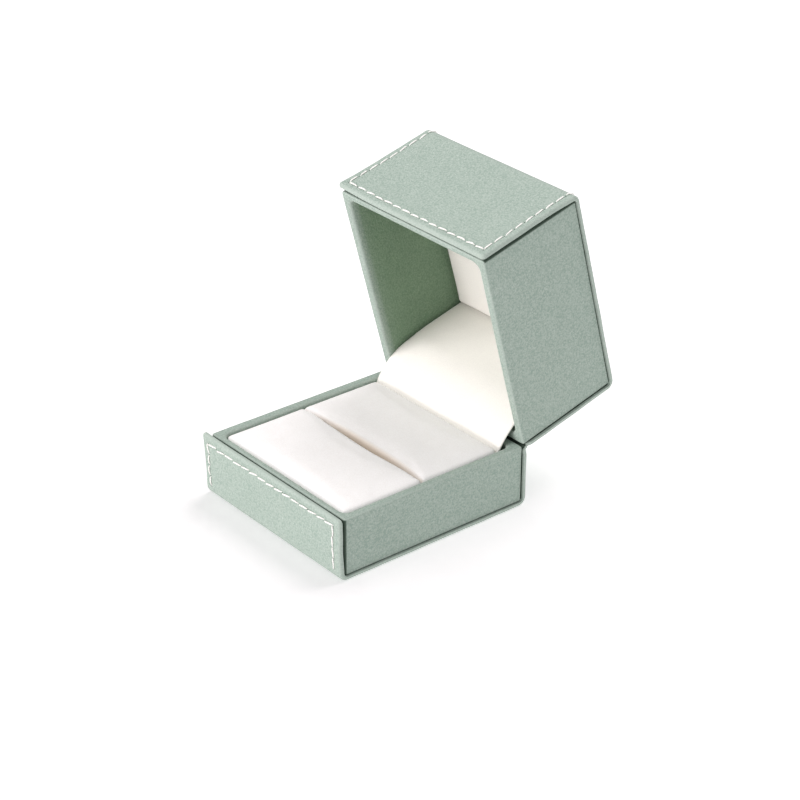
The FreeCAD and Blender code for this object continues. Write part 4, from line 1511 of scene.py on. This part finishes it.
@dataclass
class FoamPad:
    """Foam block wrapped in suede: a crowned top that rolls over into the sides.

    Its corners are the upright radii at the front and behind. Its rolls are the radii of the
    top's edges at the sides, at the front and behind. The slot side is 1 where the rear edge
    keeps its height because the other pad presses on it, -1 where the front edge does.
    """

    low: Vector
    high: Vector
    crown: float
    corners: tuple[float, float]
    rolls: tuple[float, float, float]
    voxel: float
    pressure: float
    cap: float
    slot_side: int = 0
    least_roll: float = 0.4
    cell: float = 0.5

    def top(self, x: float, y: float) -> float:
        """Work out the upper face from the crown and the rolls at the edges.

        Args:
            x: Place across the pad.
            y: Place along its depth.

        Returns:
            Height of the face there.
        """
        middle, half = (self.low + self.high) / 2, (self.high - self.low) / 2
        across, deep = (x - middle.x) / half.x, (y - middle.y) / half.y
        drop = max(0.0, -self.slot_side * deep) if self.slot_side else abs(deep)
        height = self.high.z + self.crown * (1.0 - across ** 6) * (1.0 - drop ** 10)
        side, front, rear = self.rolls
        pinch = abs(across) ** 3
        front, rear = (max(self.least_roll, roll * (1.0 - 0.75 * pinch))
                       for roll in (front, rear))
        for gap, roll in ((half.x - abs(x - middle.x), side), (y - self.low.y, front),
                          (self.high.y - y, rear)):
            inside = max(0.0, roll - max(0.0, gap))
            height -= roll - math.sqrt(max(0.0, roll * roll - inside * inside))
        return height

    def form(self) -> Mesh:
        """Make the crowned, rounded block, slightly smaller than the space it fills.

        Returns:
            The block.
        """
        mesh = box_mesh(self.low, self.high)
        middle = (self.low + self.high) / 2
        for behind, radius in zip((False, True), self.corners):
            upright = [edge for edge in mesh.edges
                       if abs(edge.verts[0].co.z - edge.verts[1].co.z) > 1.0
                       and (edge.verts[0].co.y > middle.y) is behind
                       and abs(edge.verts[0].co.x) > abs(self.high.x) - 1e-3]
            round_edges(mesh, upright, radius, 5)
        slice_mesh(mesh, 0, spaced(self.low.x, self.high.x, self.cell))
        slice_mesh(mesh, 1, spaced(self.low.y, self.high.y, self.cell))
        for vert in mesh.verts:
            share = (vert.co.z - self.low.z) / (self.high.z - self.low.z)
            vert.co.z = self.low.z + share * (self.top(vert.co.x, vert.co.y) - self.low.z)
        return mesh

    def swelled(self, shape: Callable[[Vector, Vector], Vector]) -> Mesh:
        """The block after its fabric has swelled, with its underside glued.

        Args:
            shape: Moves the block's points before it swells.

        Returns:
            The swelled pad, in millimetres.
        """
        floor = self.low.z + 1.0
        mesh = self.form()
        sculpt(mesh, shape)
        mesh = swell(mesh, lambda place: place.z < floor, self.pressure, self.cap, self.voxel)
        for _ in range(2):
            bmesh.ops.smooth_vert(mesh, verts=mesh.verts[:], factor=0.5, use_axis_x=True,
                                  use_axis_y=True, use_axis_z=True)
        bmesh.ops.subdivide_edges(mesh, edges=mesh.edges[:], cuts=1, use_grid_fill=True,
                                  smooth=0.4)
        return mesh


def keep_inside(point: Vector, move: Vector, low: Vector, high: Vector) -> Vector:
    """Shorten a move so that the point stays in a box, as walls hold a pad in.

    Args:
        point: Where the point is.
        move: The move, which is changed.
        low: Lowest corner of the box.
        high: Highest corner of the box.

    Returns:
        The shortened move.
    """
    for axis in range(3):
        reach = min(max(point[axis] + move[axis], low[axis]), high[axis])
        move[axis] = reach - point[axis]
    return move


@dataclass
class Cushion:
    """Two suede pads with a slot for a ring between them."""

    plan: BoxPlan
    side: float = 26.2
    wall: float = 26.44
    front_edge: float = -27.8
    slot: float = -1.35
    slot_gap: float = 0.06
    crease_half: float = 0.5
    crease_depth: float = 0.35
    rear_edge: float = 23.5
    seat: float = 4.1
    shoulder: float = 17.75
    crown: float = 0.9
    front_bow: float = 1.35
    rear_bow: float = 0.45
    bow_centre: float = 3.0
    bow_half: float = 25.0
    lean: float = 0.45
    lean_from: float = 15.0
    # how far from the slot's edge the painted shade reaches
    slot_shade_edge: float = 0.35
    slot_shade_ends: float = 0.45
    slot_shade_middle: float = 1.9

    def build(self) -> list[Piece]:
        """Make both pads.

        Returns:
            The front and the rear pad.
        """
        front = FoamPad(Vector((-self.side, self.front_edge, self.seat)),
                        Vector((self.side, self.slot, self.shoulder)), self.crown,
                        (1.6, 0.3), (0.8, 1.0, 0.5), 0.65, 2.0, 0.15, 1)
        rear = FoamPad(Vector((-self.side, self.slot, self.seat)),
                       Vector((self.side, self.rear_edge, self.shoulder)), self.crown,
                       (0.3, 0.5), (0.8, 1.0, 0.4), 0.65, 2.0, 0.15, -1)
        return [self._pad("front_pad", front), self._pad("rear_pad", rear)]

    def _slot_at(self, point: Vector, bow: float) -> float:
        """Where a pad's face at the slot runs, bowed to the front near the top."""
        share = max(0.0, 1.0 - ((point.x - self.bow_centre) / self.bow_half) ** 2)
        return self.slot - bow * share * smooth(8.0, 16.5, point.z)

    def _pad(self, name: str, block: FoamPad) -> Piece:
        """Make one pad, press it into the tray and dress it.

        Args:
            name: Name of the pad.
            block: Its foam block.

        Returns:
            The pad.
        """
        ahead = block.low.y < self.slot - 1.0
        bow = self.front_bow if ahead else self.rear_bow

        def curve(point: Vector, normal: Vector) -> Vector:
            """Bow the foam beside the slot."""
            near = smooth(6.0, 0.0, abs(point.y - self.slot))
            return Vector((0.0, (self._slot_at(point, bow) - self.slot) * near, 0.0))

        def press(point: Vector, normal: Vector) -> Vector:
            """Crease the suede at the slot and hold it on its own side."""
            move = self._press(point, normal)
            edge = self._slot_at(point, bow)
            near = max(0.0, 1.0 - abs(point.y - edge) / self.crease_half)
            move.z -= self.crease_depth * near * near * smooth(15.0, 16.5, point.z)
            limit = edge + (-self.slot_gap if ahead else self.slot_gap)
            reach = min(point.y + move.y, limit) if ahead else max(point.y + move.y, limit)
            move.y = reach - point.y
            return move

        mesh = block.swelled(curve)
        sculpt(mesh, press)
        # painted shade of the slot, strongest in the middle where the slot opens
        painted_slot_shade = mesh.verts.layers.float.new("painted_slot_shade")
        for vert in mesh.verts:
            edge = self._slot_at(vert.co, bow)
            middle = max(0.0, 1.0 - ((vert.co.x - self.bow_centre) / self.bow_half) ** 2)
            reach = self.slot_shade_edge if ahead else self.slot_shade_ends + self.slot_shade_middle * middle
            vert[painted_slot_shade] = (0.35 + 0.65 * middle) * smooth(reach, 0.0, abs(vert.co.y - edge))
        piece = finish_piece(mesh, name, PAD_SUEDE, 80.0)
        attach(piece, "base")
        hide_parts(f"{name}_cover", f"{name}_foam")
        return piece

    def _press(self, point: Vector, normal: Vector) -> Vector:
        """Find the move that gives faint waves and leans the rear edge on the strip.

        Args:
            point: Place on the pad.
            normal: Normal there; not used.

        Returns:
            The move, within the room.
        """
        top = smooth(13.0, 17.0, point.z)
        move = Vector((0.0, 0.0, 0.0))
        move.z += 0.1 * top * ripple(point, 11.0, 8.4) + 0.02 * top * ripple(point, 3.2, 2.7)
        lean = self.lean * max(0.0, point.z - self.lean_from)
        move.y += lean * smooth(20.5, self.rear_edge, point.y)
        return keep_inside(point, move, Vector((-self.wall, -28.04, self.seat)),
                           Vector((self.wall, 23.75 + lean, 19.2)))


@dataclass
class LidLiner:
    """Padded suede panel inside the lid's top, in the lid's own frame with the lid shut."""

    plan: BoxPlan
    side: float = 26.25
    wall: float = 26.44
    front_edge: float = -27.8
    rear_edge: float = 22.9
    face: float = 27.0
    back: float = 29.7
    crown: float = 0.15

    def build(self) -> Piece:
        """Make the panel face down, swing it open and dress it.

        Returns:
            The panel.
        """
        block = FoamPad(Vector((-self.side, self.front_edge, -self.back)),
                        Vector((self.side, self.rear_edge, -self.face)), self.crown,
                        (2.0, 1.0), (0.8, 0.8, 0.7), 0.6, 1.6, 0.25)
        mesh = block.swelled(lambda point, normal: Vector((0.0, 0.0, 0.0)))
        sculpt(mesh, self._press)
        bmesh.ops.scale(mesh, vec=(1.0, 1.0, -1.0), verts=mesh.verts)
        bmesh.ops.translate(mesh, vec=(0.0, 0.0, self.plan.hinge_z), verts=mesh.verts)
        bmesh.ops.transform(mesh, matrix=self.plan.swing(), verts=mesh.verts)
        bmesh.ops.recalc_face_normals(mesh, faces=mesh.faces)
        piece = finish_piece(mesh, "lid_liner", STRIP_SUEDE, 80.0)
        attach(piece, "lid")
        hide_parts("lid_liner_cover", "lid_liner_foam")
        return piece

    def _press(self, point: Vector, normal: Vector) -> Vector:
        """Find the move that gives faint waves.

        Args:
            point: Place on the panel.
            normal: Normal there; not used.

        Returns:
            The move, within the lid's room.
        """
        move = Vector((0.0, 0.0, 0.08 * ripple(point, 10.0, 6.6) * smooth(-29.5, -27.5, point.z)))
        return keep_inside(point, move, Vector((-self.wall, -28.04, -self.back)),
                           Vector((self.wall, 23.1, -self.face + 0.5)))


# ------------------------------------------------------------------ the strip over the hinge


@dataclass
class CoverStrip:
    """Suede strip that hides the hinge: up behind the rear pad and over to the lid liner."""

    plan: BoxPlan
    half_width: float = 25.9
    thickness: float = 0.6
    face: float = 23.8
    foot: float = 5.0
    leg_top: float = 12.97
    low_bend: float = 8.0
    lean: float = 64.0
    high_bend: float = 22.4
    lid_run: float = 18.5
    wave: float = 0.12
    waist: float = 0.5
    flare: float = 0.9
    edge_drop: float = 0.5
    edge_share: float = 0.18
    belly: float = 0.25

    def _path(self) -> SheetPath:
        """Lay out the side line of the strip's front face.

        Returns:
            The path.
        """
        slope = 90.0 - self.plan.open_angle
        return SheetPath((self.face, self.foot), 90.0, [
            Run.even(self.leg_top - self.foot, 1.3),
            Fold(self.low_bend, self.lean - 90.0, 5),
            Fold(self.high_bend, slope - self.lean, 22), Run.even(self.lid_run, 1.2)])

    def build(self) -> Piece:
        """Make the strip, let it wave a little and bend it with the hinge.

        Returns:
            The strip.
        """
        path = self._path()
        half = self.half_width
        mesh = path.sheet([-half] + spaced(-half, half, 1.15) + [half])
        along = mesh.verts.layers.float["along"]
        bmesh.ops.recalc_face_normals(mesh, faces=mesh.faces)
        mesh.normal_update()
        if mesh.faces[0].normal.dot(path.at(0.1)[2]) > 0:
            bmesh.ops.reverse_faces(mesh, faces=mesh.faces[:])
        grown = bmesh.ops.extrude_face_region(mesh, geom=mesh.faces[:])["geom"]
        back = {item for item in grown if isinstance(item, bmesh.types.BMVert)}
        loose_from, loose_to = path.start_of(1), path.start_of(3) + 2.0
        for vert in mesh.verts:
            s, x = vert[along], vert.co.x
            front = -path.at(s)[2]
            free = smooth(loose_from - 3.0, loose_from + 4.0, s) * smooth(
                loose_to + 3.0, loose_to - 5.0, s)
            lift = self.wave * free * ripple(Vector((x * 0.7, s, 0.0)), 7.0, 1.9)
            outer = max(0.0, abs(x) / half - 1.0 + self.edge_share) / self.edge_share
            lift -= self.edge_drop * free * outer
            lift += self.belly * free * bell(x, -4.0, 16.0)
            if vert in back:
                lift -= self.thickness
            vert.co += front * lift
            low = free * smooth(loose_to, loose_from + 8.0, s)
            vert.co.x -= low * (self.waist if x > 0.0 else self.flare) * abs(x) / half
        bmesh.ops.recalc_face_normals(mesh, faces=mesh.faces)
        mesh.normal_update()
        rim = [edge for edge in mesh.edges
               if len(edge.link_faces) == 2 and edge.calc_face_angle(0.0) > math.radians(60.0)]
        round_edges(mesh, rim, self.thickness * 0.42, 2)
        piece = finish_piece(mesh, "hinge_suede_strip", STRIP_SUEDE, 70.0)
        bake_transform(piece, "base", "lid", start=(0.0, 0.024, 0.014), end=(0.0, 0.043, 0.0295))
        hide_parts("hinge_cover_strip")
        return piece


# ------------------------------------------------------------------ the hinge's springs


@dataclass(frozen=True)
class BowSprings:
    """Two flat steel bows from leaf to leaf, which bend as the lid turns."""

    sides: tuple[str, ...] = ("left", "right")
    base_foot: tuple[float, float, float] = (0.0, 0.02806, 0.01399)
    lid_foot: tuple[float, float, float] = (0.0, 0.03404, 0.0219)

    def build(self, nodes: dict[str, Piece]) -> None:
        """Copy each spring's solid, merge its doubles and let it bend.

        Args:
            nodes: The frame's nodes by name.
        """
        for side in self.sides:
            solid = nodes[f"bow_spring_{side}"]
            mesh = bmesh.new()
            mesh.from_mesh(solid.data)
            bmesh.ops.transform(mesh, matrix=Matrix.Scale(1.0 / MM, 4) @ solid.matrix_world,
                                verts=mesh.verts)
            bmesh.ops.remove_doubles(mesh, verts=mesh.verts, dist=1e-3)
            piece = finish_piece(mesh, f"{side}_bow_spring", BLUED)
            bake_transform(piece, "base", "lid", start=self.base_foot, end=self.lid_foot)
            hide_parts(f"bow_spring_{side}")


# ------------------------------------------------------------------ nodes that keep their CAD mesh


@dataclass(frozen=True)
class CarriedNodes:
    """Solids of the frame that stay, with their finishes."""

    finishes: tuple[tuple[Finish, tuple[str, ...]], ...] = (
        (GREYBOARD, ("base_bottom_board", "base_back_board", "lid_top_board",
                     "lid_back_board")),
        (INSERT_CARD, ("cushion_card", "strip_anchor_card", "lid_liner_card",
                       "strip_lid_card")),
        (PLATED, ("hinge_base_leaf", "hinge_lid_leaf", "hinge_pin", "hinge_base_tacks",
                  "hinge_lid_tacks")),
    )

    def dress(self, nodes: dict[str, Piece]) -> None:
        """Give each solid its finish.

        Args:
            nodes: The frame's nodes by name.
        """
        for finish, names in self.finishes:
            for name in names:
                slots = nodes[name].data.materials
                slots.clear()
                slots.append(finish.material())
                LOG.info("%s: %s", name, finish.name)


# ------------------------------------------------------------------ studio


@dataclass(frozen=True)
class Softbox:
    """Soft studio light aimed at the box."""

    name: str
    place: tuple[float, float, float]
    size: tuple[float, float]
    power: float
    tint: str = "FFFFFF"
    flagged: bool = False

    def build(self, target: Vector, floor_flag: bpy.types.Collection) -> None:
        """Hang the light, aim it and flag it off the floor if it is to be.

        Args:
            target: Where the light is aimed.
            floor_flag: Collection that keeps a light off the floor.
        """
        light = bpy.data.lights.new(self.name, "AREA")
        light.shape = "RECTANGLE"
        light.size, light.size_y = self.size
        light.energy = self.power
        light.color = linear(self.tint)[:3]
        lamp = bpy.data.objects.new(self.name, light)
        lamp.location = self.place
        lamp.rotation_euler = (target - Vector(self.place)).to_track_quat("-Z", "Y").to_euler()
        if self.flagged:
            lamp.light_linking.receiver_collection = floor_flag
        bpy.context.scene.collection.objects.link(lamp)


@dataclass(frozen=True)
class PaperSweep(Finish):
    """White translucent sheet lit from below: matt, with the faintest fibre."""

    name: str = "lit_white_sheet"
    glow: float = 0.44
    lamp: str = "FFFAFE"
    shade: str = "F7F7F6"
    light: str = "FCFCFB"
    fibre_mm: float = 3.0

    def paint(self, tree: bpy.types.NodeTree, shader: bpy.types.Node) -> None:
        """Add the fibre."""
        place = add_node(tree, "ShaderNodeTexCoord").outputs["Object"]
        fibre = add_node(tree, "ShaderNodeTexNoise", {"noise_dimensions": "3D"},
                         {"Vector": place, "Scale": per_mm(self.fibre_mm)})
        ramp = add_node(tree, "ShaderNodeValToRGB", inputs={0: fibre.outputs["Fac"]})
        paint_ramp(ramp, [(0.3, self.shade), (0.7, self.light)])
        tree.links.new(ramp.outputs["Color"], shader.inputs["Base Color"])
        shader.inputs["Roughness"].default_value = 0.9
        shader.inputs["Specular IOR Level"].default_value = 0.1
        shader.inputs["Emission Color"].default_value = linear(self.lamp)
        shader.inputs["Emission Strength"].default_value = self.glow


@dataclass(frozen=True)
class Studio:
    """Paper floor, soft lights and the camera."""

    azimuth: float = 50.5932
    elevation: float = 28.1824
    roll: float = 0.27984
    distance: float = 644.598
    aside: float = 9.3536
    above: float = 26.7287
    lens: float = 106.27
    floor_half: float = 3.0
    sky: float = 0.36
    softboxes: tuple[Softbox, ...] = (
        Softbox("front_softbox", (0.0, -1.3, 0.14), (0.8, 0.24), 7.8, "FFF6F9",
                flagged=True),
        Softbox("right_softbox", (1.3, 0.1, 0.14), (0.8, 0.24), 3.0, flagged=True),
        Softbox("rear_top_softbox", (-0.1, 0.7, 1.0), (0.9, 0.9), 8.6, "FFFAFC"),
        Softbox("high_front_softbox", (-0.42, -0.82, 0.92), (0.7, 0.7), 10.7, "FFFBFC",
                flagged=True),
    )

    def build(self) -> None:
        """Set up floor, lights, sky and camera."""
        mesh = bmesh.new()
        bmesh.ops.create_grid(mesh, x_segments=4, y_segments=4, size=self.floor_half / MM)
        bmesh.ops.translate(mesh, vec=(0.0, 0.0, -0.05), verts=mesh.verts)
        floor = finish_piece(mesh, "paper_floor", PaperSweep())

        floor_flag = bpy.data.collections.new("floor_flag")
        floor_flag.objects.link(floor)
        floor_flag.collection_objects[0].light_linking.link_state = "EXCLUDE"
        target = Vector((0.0, 0.0, 0.03))
        for softbox in self.softboxes:
            softbox.build(target, floor_flag)
        world = bpy.data.worlds.new("studio_sky")
        world.use_nodes = True
        background = world.node_tree.nodes["Background"]
        background.inputs["Color"].default_value = (1.0, 1.0, 1.0, 1.0)
        background.inputs["Strength"].default_value = self.sky
        bpy.context.scene.world = world
        self._camera()

    def _camera(self) -> None:
        """Place the camera from its angles and distance."""
        azimuth, elevation = math.radians(self.azimuth), math.radians(self.elevation)
        back = Vector((math.sin(azimuth) * math.cos(elevation),
                       -math.cos(azimuth) * math.cos(elevation), math.sin(elevation)))
        right = Vector((0.0, 0.0, 1.0)).cross(back).normalized()
        up = back.cross(right)
        roll = math.radians(self.roll)
        right, up = (right * math.cos(roll) + up * math.sin(roll),
                     up * math.cos(roll) - right * math.sin(roll))
        place = Matrix((right, up, back)).transposed().to_4x4()
        place.translation = MM * (right * self.aside + up * self.above + back * self.distance)
        data = bpy.data.cameras.new("studio_camera")
        data.lens = self.lens
        data.sensor_width = 36.0
        data.clip_start, data.clip_end = 0.01, 20.0
        camera = bpy.data.objects.new("studio_camera", data)
        camera.matrix_world = place
        bpy.context.scene.collection.objects.link(camera)
        bpy.context.scene.camera = camera


# ------------------------------------------------------------------ making


def main() -> None:
    """Build the box in its frame, piece by piece."""
    logging.basicConfig(level=logging.INFO, format="%(name)s: %(message)s")
    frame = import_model()
    bpy.context.scene.view_settings.view_transform = "Standard"
    plan = BoxPlan.from_frame(frame)
    Studio().build()
    BowSprings().build(frame["nodes"])
    CarriedNodes().dress(frame["nodes"])
    wrap = Wrap(plan)
    wrap.build()
    stitching = Stitching(wrap)
    for side in Side:
        stitching.build(side)
        Tray(plan, side).build()
    Cushion(plan).build()
    LidLiner(plan).build()
    CoverStrip(plan).build()


if __name__ == "__main__":
    main()
